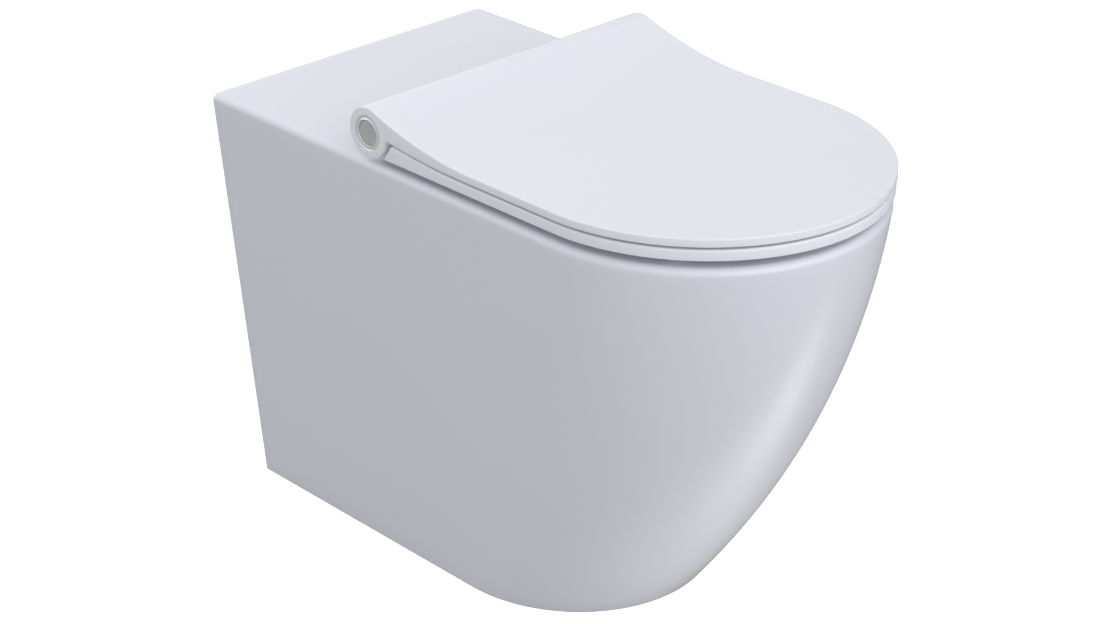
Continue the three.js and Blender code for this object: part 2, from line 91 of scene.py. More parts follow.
FIT = 0.0003  # gap around what turns or slides in a bore
PAST = 0.002  # how far a cutting tool runs past what it cuts
FLARE = 0.0015  # widening at the open end of a spigot or socket
SPIGOT_ROUNDS = (0.004, 0.0025)  # rounds at the inner and the open end of a spigot
SLEEVE_ROUND = 0.0008  # round at the ends of an eye or a knuckle
LEG_ROUND = 0.0012  # round of a post's leg
PLATE_BORE = 0.0033  # radius of the hole in a base plate
PLATE_ROUND = 0.0015  # round of a base plate's upper edge
FLOOR_HALF = 9.0  # half the side of the studio floor
FLOOR_DROP = 0.0002  # the studio floor lies this far below the feet
FLOOR_GREY = (0.3, 0.3, 0.3)
FLOOR_LIGHT = (1, 0.98, 0.94, 1)  # tint of the light from the floor
FLOOR_SEEN = 1.2  # the floor's light as the camera sees it, enough for plain white
SKY_LIGHT = (0.965, 0.975, 1.0, 1)  # tint of the light from around


def size(name, default, description):
    """A length in metres that a user may change."""
    return FloatProperty(name=name, description=description, default=default, unit="LENGTH", precision=4)


def number(name, default, description):
    """A plain number that a user may change."""
    return FloatProperty(name=name, description=description, default=default)


def tint(name, default, description):
    """A linear colour that a user may change."""
    return FloatVectorProperty(
        name=name, description=description, default=default, size=3, subtype="COLOR", min=0, max=1
    )


class TOILET_PG_pan(bpy.types.PropertyGroup):
    """Sizes of the glazed pan."""

    foot_width: size("Foot width", 0.276, "Width of the pan at the floor")
    foot_depth: size("Foot depth", 0.470, "Depth of the pan at the floor")
    front_bulge: number("Front bulge", 0.74, "How far the front's side view bows outwards")
    rim_nose: size("Rim nose", 0.183, "Length of the curved front in plan, at the rim")
    foot_nose: size("Foot nose", 0.145, "Length of the curved front in plan, at the floor")
    rim_power: number("Rim squareness", 1.97, "Superellipse power of the curved front, at the rim")
    foot_power: number("Foot squareness", 2.0, "Superellipse power of the curved front, at the floor")
    rim_round: size("Rim round", 0.008, "Radius of the deck's outer edge")
    back_round: size("Back round", 0.0025, "Radius of the edges at the wall")
    foot_round: size("Foot round", 0.0015, "Radius of the edge at the floor")
    wall: size("Wall", 0.012, "Thickness of the casting")
    deck: size("Deck", 0.016, "Thickness of the deck")
    bowl_half_width: size("Bowl half width", 0.122, "Half width of the bowl's mouth")
    bowl_half_length: size("Bowl half length", 0.149, "Half length of the bowl's mouth")
    front_rim: size("Front rim", 0.038, "Width of the rim in front of the bowl")
    bowl_depth: size("Bowl depth", 0.327, "Depth of the bowl below the rim")
    lip_round: size("Lip round", 0.007, "Radius of the bowl's lip")
    sump_share: number("Sump share", 0.24, "Size of the sump as a share of the mouth")
    sump_shift: size("Sump shift", 0.074, "How far the sump lies behind the mouth's middle")
    trap_bore: size("Trap bore", 0.033, "Inner radius of the trap")
    water_seal: size("Water seal", 0.050, "Depth of the trap's water seal")
    outlet_height: size("Outlet height", 0.185, "Height of the outlet's axis")
    outlet_bore: size("Outlet bore", 0.042, "Inner radius of the outlet spigot")
    outlet_wall: size("Outlet wall", 0.009, "Wall of the outlet spigot")
    outlet_length: size("Outlet length", 0.052, "Length of the outlet spigot")
    outlet_setback: size("Outlet setback", 0.012, "Outlet to wall face")
    inlet_height: size("Inlet height", 0.350, "Height of the flush inlet's axis")
    inlet_bore: size("Inlet bore", 0.022, "Inner radius of the flush duct")
    inlet_socket: size("Inlet socket", 0.028, "Inner radius of the flush socket")
    inlet_wall: size("Inlet wall", 0.008, "Wall of the flush socket")
    inlet_setback: size("Inlet setback", 0.010, "Flush socket to wall face")
    socket_depth: size("Socket depth", 0.030, "Depth of the flush socket")
    stud_hole: size("Stud hole", 0.007, "Radius of the holes for the seat's studs")
    flush_seal_bore: size("Flush seal bore", 0.024, "Inner radius of the flush seal")
    collar_bore: size("Collar bore", 0.0513, "Inner radius of the outlet collar")


class TOILET_PG_seat(bpy.types.PropertyGroup):
    """Sizes of the lid and the ring."""

    lid_thickness: size("Lid thickness", 0.0079, "Thickness of the flat of the lid")
    lid_top_round: size("Lid top round", 0.0013, "Radius of the lid's upper edge")
    lid_low_round: size("Lid lower round", 0.0008, "Radius of the lid's lower edge")
    lid_lip: size("Lid lip", 0.014, "Width of the lip under the lid")
    lid_recess: size("Lid recess", 0.0035, "Depth of the hollow under the lid")
    swoop_run: size("Swoop run", 0.146, "Where the lid starts to rise, in front of the hinge axis")
    sweep_run: size("Sweep run", 0.131, "Where the underside starts to rise, in front of the hinge axis")
    sweep_radius: size("Sweep radius", 0.757, "Radius of the underside's rise")
    fork_round: size("Fork round", 0.004, "Radius of the fillet between the underside and the barrel")
    ring_thickness: size("Ring thickness", 0.0103, "Thickness of the ring at the front")
    ring_top_round: size("Ring top round", 0.0022, "Radius of the ring's upper edges")
    ring_low_round: size("Ring lower round", 0.0009, "Radius of the ring's lower edges")
    hole_half_width: size("Opening half width", 0.112, "Half width of the ring's opening")
    hole_half_length: size("Opening half length", 0.130, "Half length of the ring's opening")
    front_width: size("Ring front width", 0.072, "Width of the ring in front of its opening")
    barrel_gap: size("Barrel gap", 0.0042, "Barrel to the ring's rear face")
    rear_slant: size("Rear slant", 0.0020, "How much further forwards the rear face's top lies")
    barrel_round: size("Barrel round", 0.0013, "Radius of the barrel's end edges")
    barrel_wall: size("Barrel wall", 0.004, "Wall of the lid's barrel")
    pin_hole: size("Pin hole", 0.0048, "Radius of the hinge pins' holes")
    knuckle_gap: size("Knuckle gap", 0.0025, "Knuckle to the inside of the barrel")
    slot_gap: size("Slot gap", 0.0015, "Sideways gap between neighbours on the axis")
    notch_margin: number("Notch margin", 8.0, "Degrees around what turns in a notch")
    swing: number("Swing", 105.0, "Degrees that the lid opens")


class TOILET_PG_finish(bpy.types.PropertyGroup):
    """Colours of the finishes."""

    glaze: tint("Glaze", (0.80, 0.81, 0.875), "White vitreous glaze")
    plastic: tint("Seat plastic", (0.875, 0.885, 0.94), "Moulded white seat")
    hinge: tint("Hinge plastic", (0.66, 0.67, 0.70), "Pale grey moulded hinge parts")
    chrome: tint("Chrome", (0.88, 0.88, 0.87), "Plated trim")
    cap: tint("Cap grey", (0.50, 0.50, 0.51), "Discs in the barrel's ends")
    steel: tint("Stainless", (0.56, 0.56, 0.58), "Pins, studs and washers")
    pale_rubber: tint("Pale rubber", (0.55, 0.56, 0.58), "Buffers and outlet collar")
    dark_rubber: tint("Dark rubber", (0.025, 0.025, 0.027), "Sleeves and flush seal")


class TOILET_PG_stage(bpy.types.PropertyGroup):
    """Camera, floor and lights."""

    azimuth: number("Azimuth", -44.0, "Degrees that the view is turned to the left of the front")
    elevation: number("Elevation", 26.58, "Degrees that the view looks down")
    distance: size("Distance", 2.666, "Camera to its aim")
    aim: FloatVectorProperty(
        name="Aim",
        description="Point in the middle of the view",
        default=(0.0478, 0.0833, 0.2120),
        subtype="XYZ",
        unit="LENGTH",
    )
    lens: number("Lens", 85.46, "Focal length in millimetres on a 36 mm sensor")
    floor_glow: number("Floor glow", 0.07, "Light given off by the pale floor")
    pool_glow: number("Pool glow", 1.45, "Extra light given off by the floor at the front right")
    pool_place: FloatVectorProperty(
        name="Pool place",
        description="Middle of the brighter pool on the floor",
        default=(0.155, -0.425, 0),
        subtype="XYZ",
        unit="LENGTH",
    )
    pool_turn: number("Pool turn", -43.0, "Degrees that the pool's long axis is turned")
    pool_long: size("Pool length", 0.24, "Reach of the pool along its long axis")
    pool_wide: size("Pool width", 0.08, "Reach of the pool across its long axis")
    sky_even: number("Even light", 0.026, "Strength of the light that is the same from all around")
    sky_top: number("Top light", 0.277, "Strength of the soft light from above")
    sky_high_front: number("High front light", 0.51, "Strength of the soft light from above the front")
    sky_left: number("Left light", 0.44, "Strength of the soft light from the left")
    sky_front: number("Front light", 1.66, "Strength of the soft light from the front")
    sky_back: number("Back light", 1.66, "Strength of the soft light from the wall side")


# ---------------------------------------------------------------- meshes


def put(name, points, faces):
    """Makes an object from points and faces, with doubles merged and every face pointing out."""
    mesh = bpy.data.meshes.new(name)
    mesh.from_pydata(points.reshape(-1, 3).tolist(), [], faces)
    work = bmesh.new()
    work.from_mesh(mesh)
    bmesh.ops.remove_doubles(work, verts=work.verts, dist=1e-6)
    bmesh.ops.dissolve_degenerate(work, edges=work.edges, dist=1e-7)
    bmesh.ops.recalc_face_normals(work, faces=work.faces)
    if work.calc_volume(signed=True) < 0:
        bmesh.ops.reverse_faces(work, faces=work.faces)
    work.to_mesh(mesh)
    work.free()
    piece = bpy.data.objects.new(name, mesh)
    bpy.context.scene.collection.objects.link(piece)
    return piece


def skin(name, rings, capped=True):
    """Closed skin: rings of equally many points joined by quads, with a fan to the middle of each end ring,
    or the last ring joined to the first where it isn't capped."""
    count, around = rings.shape[:2]
    if not capped:
        rings = np.concatenate([rings, rings[:1]])
        count += 1
    step = np.arange(count - 1)[:, None] * around
    here = np.arange(around)[None, :]
    after = (here + 1) % around
    quads = np.stack([step + here, step + after, step + around + after, step + around + here], -1)
    faces = quads.reshape(-1, 4).tolist()
    points = rings.reshape(-1, 3)
    if capped:
        first = count * around
        middles = np.stack([rings[0].mean(0), rings[-1].mean(0)])
        points = np.concatenate([points, middles])
        last = (count - 1) * around
        here, after = here[0], after[0]
        faces += np.stack([np.full(around, first), after, here], -1).tolist()
        faces += np.stack([np.full(around, first + 1), last + here, last + after], -1).tolist()
    return put(name, points, faces)


def lathe(name, profile, axis, centre, around=72, start=0.0, closed=False):
    """Profile turned about an axis: each (radius, station) of the profile becomes a circle of that radius
    at that station along the axis. A closed profile comes back to its first point."""
    profile = np.asarray(profile, float)
    angle = start + np.linspace(0, 2 * math.pi, around, endpoint=False)
    along = "xyz".index(axis)
    first, second = [(along + 1) % 3, (along + 2) % 3]
    rings = np.empty((len(profile), around, 3))
    rings[..., along] = centre[along] + profile[:, 1:]
    rings[..., first] = centre[first] + profile[:, :1] * np.cos(angle)
    rings[..., second] = centre[second] + profile[:, :1] * np.sin(angle)
    return skin(name, rings, capped=not closed)


def arc(centre, radius, start, end, steps=ROUND_STEPS):
    """Points of a circular arc, its angles in degrees from start to end."""
    angle = np.radians(np.linspace(start, end, steps + 1))
    return np.stack([centre[0] + radius * np.cos(angle), centre[1] + radius * np.sin(angle)], -1)


def rod_profile(radius, low, high, low_round=0.0, high_round=0.0):
    """Side of a rod from its low to its high station, with a quarter round at each end that has one."""
    ends = []
    if low_round:
        ends.append(arc((radius - low_round, low + low_round), low_round, -90, 0))
    else:
        ends.append([(radius, low)])
    if high_round:
        ends.append(arc((radius - high_round, high - high_round), high_round, 0, 90))
    else:
        ends.append([(radius, high)])
    return np.concatenate(ends)


def block(name, low, high, bevel=0.0):
    """Box between two corners, whose edges get a round from a bevel that is applied."""
    x, y, z = [np.array(pair) for pair in zip(low, high)]
    plan = np.array([[x[1], y[0]], [x[1], y[1]], [x[0], y[1]], [x[0], y[0]]])
    rings = np.stack([np.column_stack([plan, np.full(4, height)]) for height in z])
    points = rings.reshape(-1, 3)
    faces = [[3, 2, 1, 0], [4, 5, 6, 7]] + [[i, (i + 1) % 4, 4 + (i + 1) % 4, 4 + i] for i in range(4)]
    piece = put(name, points, faces)
    if bevel:
        edge = piece.modifiers.new("edges", "BEVEL")
        edge.width = bevel
        edge.segments = 3
        apply_modifiers(piece)
    return piece


def apply_modifiers(piece):
    """Takes the modifiers' result as the piece's own mesh."""
    depsgraph = bpy.context.evaluated_depsgraph_get()
    mesh = bpy.data.meshes.new_from_object(piece.evaluated_get(depsgraph))
    piece.modifiers.clear()
    old = piece.data
    piece.data = mesh
    bpy.data.meshes.remove(old)
    mesh.name = piece.name


def combine(target, operation, *tools):
    """Joins the tools to the target, or cuts them from it, one after the other, and removes them."""
    for tool in tools:
        step = target.modifiers.new("step", "BOOLEAN")
        step.operation = operation
        step.solver = "MANIFOLD"
        step.object = tool
        apply_modifiers(target)
        if not len(target.data.polygons):
            raise RuntimeError("nothing is left of " + target.name + " after " + tool.name)
        bpy.data.objects.remove(tool)
    return target


def finish_piece(piece, material, body, slot, *nodes, sharp=32):
    """Smooths the shading up to an angle in degrees, gives the material and ties the piece to its body."""
    mesh = piece.data
    mesh.polygons.foreach_set("use_smooth", np.ones(len(mesh.polygons), bool))
    mesh.set_sharp_from_angle(angle=math.radians(sharp))
    mesh.materials.clear()
    mesh.materials.append(material)
    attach(piece, body)
    if nodes:
        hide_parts(*nodes)
    return piece


# ---------------------------------------------------------------- plan outlines


def plan_base():
    """What each point of a plan outline is made of, counter-clockwise from above, starting at the back right.

    reach is the share of the half-width, except that the curved front takes a power of its cosine; back is 1
    at the wall end of a side and 0 where the curve begins; the corner columns are multiples of the back
    corners' radius."""
    back = np.linspace(1, -1, BACK_POINTS)
    turn = np.radians(np.linspace(90, 180, CORNER_POINTS + 1))[1:-1]
    flip = turn[::-1]
    side = np.linspace(1, 0, SIDE_POINTS + 1)[:-1]
    nose = np.linspace(0, math.pi, NOSE_POINTS, endpoint=False)
    columns = [
        np.stack([np.ones_like(back), 0 * back, back, 0 * back + 1, -back, 0 * back]),
        np.stack([0 * turn - 1, 0 * turn, 0 * turn + 1, 0 * turn + 1, 1 + np.cos(turn), np.sin(turn) - 1]),
        np.stack([0 * side - 1, 0 * side, 0 * side + 1, side, 0 * side, -side]),
        np.stack([-np.cos(nose), np.sin(nose), 0 * nose + 1, 0 * nose, 0 * nose, 0 * nose]),
        np.stack([0 * side + 1, 0 * side, 0 * side + 1, 1 - side, 0 * side, side - 1]),
        np.stack([0 * turn + 1, 0 * turn, 0 * turn + 1, 0 * turn + 1, -1 - np.cos(flip), np.sin(flip) - 1]),
    ]
    return np.concatenate(columns, axis=1)


PLAN_COS, PLAN_SIN, PLAN_SPREAD, PLAN_BACK, PLAN_CORNER_X, PLAN_CORNER_Y = plan_base()


def as_columns(*values):
    """Numbers and rows of numbers, brought to one length and stood up as columns."""
    rows = np.broadcast_arrays(*[np.atleast_1d(np.asarray(value, float)) for value in values])
    return [row[:, None] for row in rows]


def plan_rings(half, front, nose, power, back, corner, height):
    """D-shaped rings, one for each entry of the arrays: straight back and sides, rounded back corners, and a
    front where x = half cos^(2/power) and y = -(front - nose) - nose sin^(2/power)."""
    sizes = as_columns(half, front, nose, power, back, corner, height)
    half, front, nose, power, back, corner, height = sizes
    across = np.sign(PLAN_COS) * np.abs(PLAN_COS) ** (2 / power) * PLAN_SPREAD
    along = np.where(PLAN_SIN > 1e-9, np.abs(PLAN_SIN) ** (2 / power), 0)
    x = half * across + corner * PLAN_CORNER_X
    straight = -(front - nose)
    y = straight + (back - straight) * PLAN_BACK - nose * along + corner * PLAN_CORNER_Y
    return np.stack([x, WALL + y, height + 0 * x], -1)


def pan_rings(pan, height, inset=0.0, back=0.0, corner=0.0):
    """The pan's outline at each height, drawn in by the inset: half-width, front, nose and power all run from
    their foot values to their rim values with the height, and the front bows out by the bulge."""
    height = np.atleast_1d(np.asarray(height, float))
    t = height / PAN_HIGH.z
    half = (pan.foot_width + (PAN_HIGH.x - PAN_LOW.x - pan.foot_width) * t) / 2 - inset
    depth = PAN_HIGH.y - PAN_LOW.y
    front = pan.foot_depth + (depth - pan.foot_depth) * (t + pan.front_bulge * t * (1 - t)) - inset
    nose = pan.foot_nose + (pan.rim_nose - pan.foot_nose) * t - inset
    power = pan.foot_power + (pan.rim_power - pan.foot_power) * t
    return plan_rings(half, front, nose, power, back, corner, height)


def oval_rings(half_width, half_length, centre, height, towards):
    """Ovals whose points lie in the directions of the given outline's points, seen from the oval's centre."""
    wide, long, centre, height = as_columns(half_width, half_length, centre, height)
    angle = np.arctan2(wide[0, 0] * (towards[:, 1] - centre[0, 0]), long[0, 0] * towards[:, 0])
    x = wide * np.cos(angle)
    return np.stack([x, centre + long * np.sin(angle), height + 0 * x], -1)


def blend_rings(first, last, shares):
    """Rings between two rings, each a share of the way from the first to the last."""
    share = np.asarray(shares, float)[:, None, None]
    return first[None] * (1 - share) + last[None] * share


# ---------------------------------------------------------------- the pan


def bowl_rings(pan, level, grow, towards, top=None):
    """The bowl's form: at the share s of its depth the oval is the mouth times
    sump + (1 - sump)(1 - s^1.6)^1.5, its centre moves back by the sump's shift times s."""
    level = np.asarray(level, float)
    share = pan.sump_share + (1 - pan.sump_share) * np.maximum(0, 1 - level ** 1.6) ** 1.5
    centre = WALL + bowl_centre(pan) + pan.sump_shift * level
    height = PAN_HIGH.z - level * (pan.bowl_depth + grow)
    if top is not None:
        height = np.where(level == 0, top, height)
    wide = pan.bowl_half_width * share + grow
    return oval_rings(wide, pan.bowl_half_length * share + grow, centre, height, towards)


def bowl_centre(pan):
    """Depth of the middle of the bowl's mouth, from the wall face."""
    return -(PAN_HIGH.y - PAN_LOW.y - pan.front_rim - pan.bowl_half_length)


def pan_block(pan):
    """The outside, the foot's and the rim's rounds, the deck, the lip and the bowl, as one closed skin."""
    foot, rim, back = pan.foot_round, pan.rim_round, pan.back_round
    foot_height = foot * GONE
    foot_inset = foot * DRAWN
    side_height = np.linspace(foot, PAN_HIGH.z - rim, 46)[1:]
    rim_height = PAN_HIGH.z - rim + rim * np.sin(QUARTER[1:])
    rim_inset = rim * GONE[1:]
    heights = np.concatenate([foot_height, side_height, rim_height])
    insets = np.concatenate([foot_inset, 0 * side_height, rim_inset])
    backs = np.concatenate([0 * foot_height, 0 * side_height, -back * GONE[1:]])
    outside = pan_rings(pan, heights, insets, backs, back)

    edge = outside[-1]
    lip = pan.lip_round
    centre = WALL + bowl_centre(pan)
    lip_grow = lip * DRAWN
    lip_height = PAN_HIGH.z - lip * GONE
    mouth = oval_rings(
        pan.bowl_half_width + lip_grow, pan.bowl_half_length + lip_grow, centre, lip_height, edge
    )
    deck = blend_rings(edge, mouth[0], [0.015, 0.06, 0.15, 0.3, 0.5, 0.7, 0.85, 0.94, 0.985])
    levels = np.linspace(lip / pan.bowl_depth, 1, 40) ** 0.9
    levels[0] = lip / pan.bowl_depth
    inside = bowl_rings(pan, levels[1:-1], 0, edge)
    floor = bowl_rings(pan, [1], 0, edge)[0]
    middle = floor.mean(0)
    cap = blend_rings(floor, np.broadcast_to(middle, floor.shape), [0.08, 0.25, 0.6])
    return skin("pan_casting", np.concatenate([outside, deck, mouth, inside, cap]))


def smooth_path(points, steps):
    """Cubic curve through the points, in the plane x = 0: each tangent is that of the parabola through three
    neighbours, with the spans measured by the square root of their length."""
    points = np.asarray(points, float)
    span = np.linalg.norm(np.diff(points, axis=0), axis=1) ** 0.5
    knot = np.concatenate([[0], np.cumsum(span)])
    tangent = np.gradient(points, knot, axis=0)
    at = np.linspace(0, knot[-1], steps + 1)
    i = np.clip(np.searchsorted(knot, at, side="right") - 1, 0, len(span) - 1)
    step = (knot[i + 1] - knot[i])[:, None]
    s = (at - knot[i])[:, None] / step
    return (
        (2 * s**3 - 3 * s**2 + 1) * points[i]
        + (s**3 - 2 * s**2 + s) * step * tangent[i]
        + (3 * s**2 - 2 * s**3) * points[i + 1]
        + (s**3 - s**2) * step * tangent[i + 1]
    )


def tube(name, path, radius, around=48):
    """Round tube of one radius along a path of (y, z) points: each ring stands square to the path."""
    tangent = np.gradient(path, axis=0)
    tangent /= np.linalg.norm(tangent, axis=1)[:, None]
    angle = np.linspace(0, 2 * math.pi, around, endpoint=False)
    rings = np.empty((len(path), around, 3))
    rings[..., 0] = radius * np.cos(angle)
    rings[..., 1] = path[:, :1] - radius * np.sin(angle) * tangent[:, 1:]
    rings[..., 2] = path[:, 1:] + radius * np.sin(angle) * tangent[:, :1]
    return skin(name, rings)


def trap_path(pan):
    """From the sump down and back, up over the weir and down to the outlet."""
    sump = bowl_centre(pan) + pan.sump_shift
    start = -(pan.outlet_setback + pan.outlet_length)
    reach = start - sump
    mouth = PAN_HIGH.z - pan.bowl_depth + pan.trap_bore
    weir = PAN_HIGH.z - pan.bowl_depth + 3 * pan.trap_bore + pan.water_seal
    points = [
        (sump + 0.04 * reach, mouth + 0.001),
        (sump + 0.24 * reach, mouth + 0.008),
        (sump + 0.42 * reach, (mouth + weir) / 2),
        (sump + 0.57 * reach, weir),
        (sump + 0.78 * reach, (weir + pan.outlet_height) / 2 + 0.008),
        (sump + 0.95 * reach, pan.outlet_height + 0.002),
        (start + 0.008, pan.outlet_height),
    ]
    return smooth_path(points, 60) + np.array([WALL, 0])


def inlet_path(pan):
    """From the flush inlet forward and up to the back of the bowl, just under the deck."""
    bowl_back = bowl_centre(pan) + pan.bowl_half_length
    high = PAN_HIGH.z - pan.deck - pan.inlet_bore - FIT
    start = -pan.inlet_setback - pan.socket_depth + 0.002
    points = [
        (start, pan.inlet_height),
        (start + 0.3 * (bowl_back - start), pan.inlet_height),
        (start + 0.7 * (bowl_back - start), (pan.inlet_height + high) / 2 + 0.006),
        (bowl_back - 0.002, high - 0.002),
        (bowl_back - 0.006 - pan.wall, high),
    ]
    return smooth_path(points, 40) + np.array([WALL, 0])


def flared_bore(radius, start, end):
    """Profile of a bore that widens a little just before its open end, and runs on past it."""
    return [(radius, start), (radius, end - FLARE), (radius + FLARE, end), (radius + FLARE, end + PAST)]


def pan_piece(pan):
    """The casting: its block, less the hollow around the waterways, less the waterways and the stud holes."""
    edge = pan_rings(pan, [PAN_HIGH.z], pan.rim_round)[0]
    whole = pan_block(pan)
    inner_top = PAN_HIGH.z - pan.deck
    inner = pan_rings(pan, np.linspace(-PAST, inner_top, 24), pan.wall, PAST)
    hollow = skin("hollow", inner)
    levels = np.linspace(0, 1, 32)
    outlet_start = -(pan.outlet_setback + pan.outlet_length)
    socket_front = -(pan.inlet_setback + pan.socket_depth)
    outlet_at = (0, WALL, pan.outlet_height)
    inlet_at = (0, WALL, pan.inlet_height)
    outlet_radius = pan.outlet_bore + pan.outlet_wall
    inlet_radius = pan.inlet_socket + pan.inlet_wall
    outlet_side = rod_profile(outlet_radius, outlet_start - pan.wall, -pan.outlet_setback, *SPIGOT_ROUNDS)
    inlet_side = rod_profile(inlet_radius, socket_front - pan.wall, -pan.inlet_setback, *SPIGOT_ROUNDS)
    combine(
        hollow,
        "DIFFERENCE",
        skin("bowl_outside", bowl_rings(pan, levels, pan.wall, edge, PAN_HIGH.z + PAST)),
        tube("trap_outside", trap_path(pan), pan.trap_bore + pan.wall),
        lathe("outlet_outside", outlet_side, "y", outlet_at),
        tube("inlet_outside", inlet_path(pan), pan.inlet_bore + pan.wall),
        lathe("inlet_outside_end", inlet_side, "y", inlet_at),
    )
    stud_x = (POST_LOW.x + POST_HIGH.x) / 2
    stud_cut = rod_profile(pan.stud_hole, inner_top - PAST, PAN_HIGH.z + PAST)
    outlet_cut = flared_bore(pan.outlet_bore, outlet_start, -pan.outlet_setback)
    inlet_cut = flared_bore(pan.inlet_socket, socket_front, -pan.inlet_setback)
    combine(
        whole,
        "DIFFERENCE",
        hollow,
        tube("trap_bore", trap_path(pan), pan.trap_bore),
        lathe("outlet_bore", outlet_cut, "y", outlet_at),
        tube("inlet_bore", inlet_path(pan), pan.inlet_bore),
        lathe("inlet_socket", inlet_cut, "y", inlet_at),
        *[lathe("stud_hole", stud_cut, "z", (sign * stud_x, AXIS.y, 0), 32) for _, sign in SIDES],
    )
    return whole


# ---------------------------------------------------------------- the seat


def rise(seat, depth):
    """Height that the upward sweep adds at a depth: the sagitta of a circle that starts at its run."""
    along = np.clip(depth - AXIS_DEPTH + seat.sweep_run, 0, None)
    return seat.sweep_radius - np.sqrt(seat.sweep_radius**2 - along**2)


def swoop(seat):
    """The arc that leaves the lid's flat and meets the barrel, both at a tangent: its radius, its angle and
    the depth where it meets the barrel."""
    radius = (seat.swoop_run**2 - BARREL_RADIUS**2) / (2 * BARREL_RADIUS)
    angle = math.atan2(seat.swoop_run, radius)
    return radius, angle, AXIS_DEPTH - seat.swoop_run + radius * math.sin(angle)


def lid_top(seat, depth):
    """The lid's upper face: flat, then the swoop's arc, then inside the barrel a line to its axis."""
    radius, angle, meet = swoop(seat)
    along = np.clip(depth - AXIS_DEPTH + seat.swoop_run, 0, radius * math.sin(angle))
    high = AXIS.z + radius - np.sqrt(radius**2 - along**2)
    inside = np.clip((depth - meet) / (AXIS_DEPTH - meet), 0, 1)
    return high + (AXIS.z - high) * inside


def fork(seat):
    """The fillet between the underside and the barrel: its middle is where a circle around the sweep's
    centre and one around the hinge axis meet, each larger by the fillet's radius. Gives the middle, the depth
    where it leaves the underside and the depth where it meets the barrel."""
    sweep = np.array([AXIS_DEPTH - seat.sweep_run, AXIS.z - seat.lid_thickness + seat.sweep_radius])
    axis = np.array([AXIS_DEPTH, AXIS.z])
    far, near = seat.sweep_radius + seat.fork_round, BARREL_RADIUS + seat.fork_round
    gap = np.linalg.norm(axis - sweep)
    along = (far**2 - near**2 + gap**2) / (2 * gap)
    ahead = (axis - sweep) / gap
    middle = sweep + along * ahead + math.sqrt(far**2 - along**2) * np.array([ahead[1], -ahead[0]])
    leaves = sweep + (middle - sweep) * seat.sweep_radius / far
    meets = axis + (middle - axis) * BARREL_RADIUS / near
    return middle, leaves[0], meets[0]


def lid_under(seat, depth):
    """The lid's lower face: the flat raised by the sweep, the fillet's arc down to the barrel, then inside
    the barrel a line to its axis."""
    middle, leaves, meets = fork(seat)
    sweep = AXIS.z - seat.lid_thickness + rise(seat, np.minimum(depth, leaves))
    across = np.clip(depth, leaves, meets) - middle[0]
    fillet = middle[1] + np.sqrt(np.clip(seat.fork_round**2 - across**2, 0, None))
    low = np.where(depth < leaves, sweep, fillet)
    inside = np.clip((depth - meets) / (AXIS_DEPTH - meets), 0, 1)
    return low + (AXIS.z - low) * inside


def step_up(value, start, run):
    """Smooth step from 0 to 1 over a run: 3t^2 - 2t^3."""
    t = np.clip((value - start) / run, 0, 1)
    return t * t * (3 - 2 * t)


def lid_plate(pan, seat):
    """The lid in front of its barrel. Sections run square to the outline from the middle line over the top,
    round the edge and back below; those along the sides end on the middle line, those around the front on
    the centre of the curve. The hollow below is a smooth step behind the lip."""
    half = LID_HIGH.x
    front = WALL - LID_LOW.y
    nose = pan.rim_nose + (half - PAN_HIGH.x)
    straight = -(front - nose)
    meet = swoop(seat)[2]
    recess_back = AXIS_DEPTH - seat.sweep_run - seat.lid_lip
    edge = 0.003  # run of the step at the hollow's edge
    near_edge = 0.002  # stations stand closer together within this distance of it
    stations = np.concatenate(
        [
            np.linspace(AXIS_DEPTH, meet, 4),
            np.linspace(meet, recess_back + near_edge, 44)[1:],
            np.linspace(recess_back + near_edge, recess_back - near_edge, 7)[1:],
            np.linspace(recess_back - near_edge, straight, 16)[1:-1],
            np.linspace(*fork(seat)[1:], 9),
        ]
    )
    stations = np.sort(stations)[::-1]
    turn = np.linspace(0, math.pi, NOSE_POINTS + 1)
    power = pan.rim_power
    nose_reach = -np.sign(np.cos(turn)) * np.abs(np.cos(turn)) ** (2 / power)
    reach = np.concatenate([-np.ones_like(stations), nose_reach, np.ones_like(stations)])
    drop = np.concatenate([0 * stations, np.abs(np.sin(turn)) ** (2 / power), 0 * stations])
    base = np.concatenate([stations, np.full_like(turn, straight), stations[::-1]])

    low, high = lid_under(seat, base - nose * drop), lid_top(seat, base - nose * drop)
    room = np.clip((high - low) * 0.45, 0, None)
    over = np.minimum(seat.lid_top_round, room)[None]
    under = np.minimum(seat.lid_low_round, room)[None]
    inner = np.array([1, 0.86, 0.66, 0.44, 0.24, 0.13, 0.105, 0.09, 0.08, 0.0725, 0.065, 0.04, 0.02])[:, None]
    inner = inner * half + 0 * base
    drawn, gone = DRAWN[:, None], GONE[:, None]
    level = 0 * gone + 0 * base
    inset = np.concatenate([inner, over * drawn, under * drawn[::-1], inner[::-1]])
    fall = np.concatenate([0 * inner, over * gone, level, 0 * inner])
    lift = np.concatenate([0 * inner, level, under * gone[::-1], 0 * inner])
    share = 1 - inset / half
    x = half * reach * share
    depth = base - nose * drop * share
    is_top = np.arange(len(inset)) < len(inner) + len(QUARTER)
    hollow = seat.lid_recess * step_up(inset, seat.lid_lip - edge / 2, edge)
    hollow = hollow * step_up(-depth, -recess_back - edge / 2, edge)
    height = np.where(
        is_top[:, None], lid_top(seat, depth) - fall, lid_under(seat, depth) + lift + hollow
    )
    points = np.stack([x, WALL + depth, height], -1)
    rows, columns = points.shape[:2]
    here = np.arange(rows - 1)[:, None] * columns + np.arange(columns - 1)[None]
    faces = np.stack([here, here + 1, here + columns + 1, here + columns], -1).reshape(-1, 4)
    return put("lid_shell", points, faces.tolist())


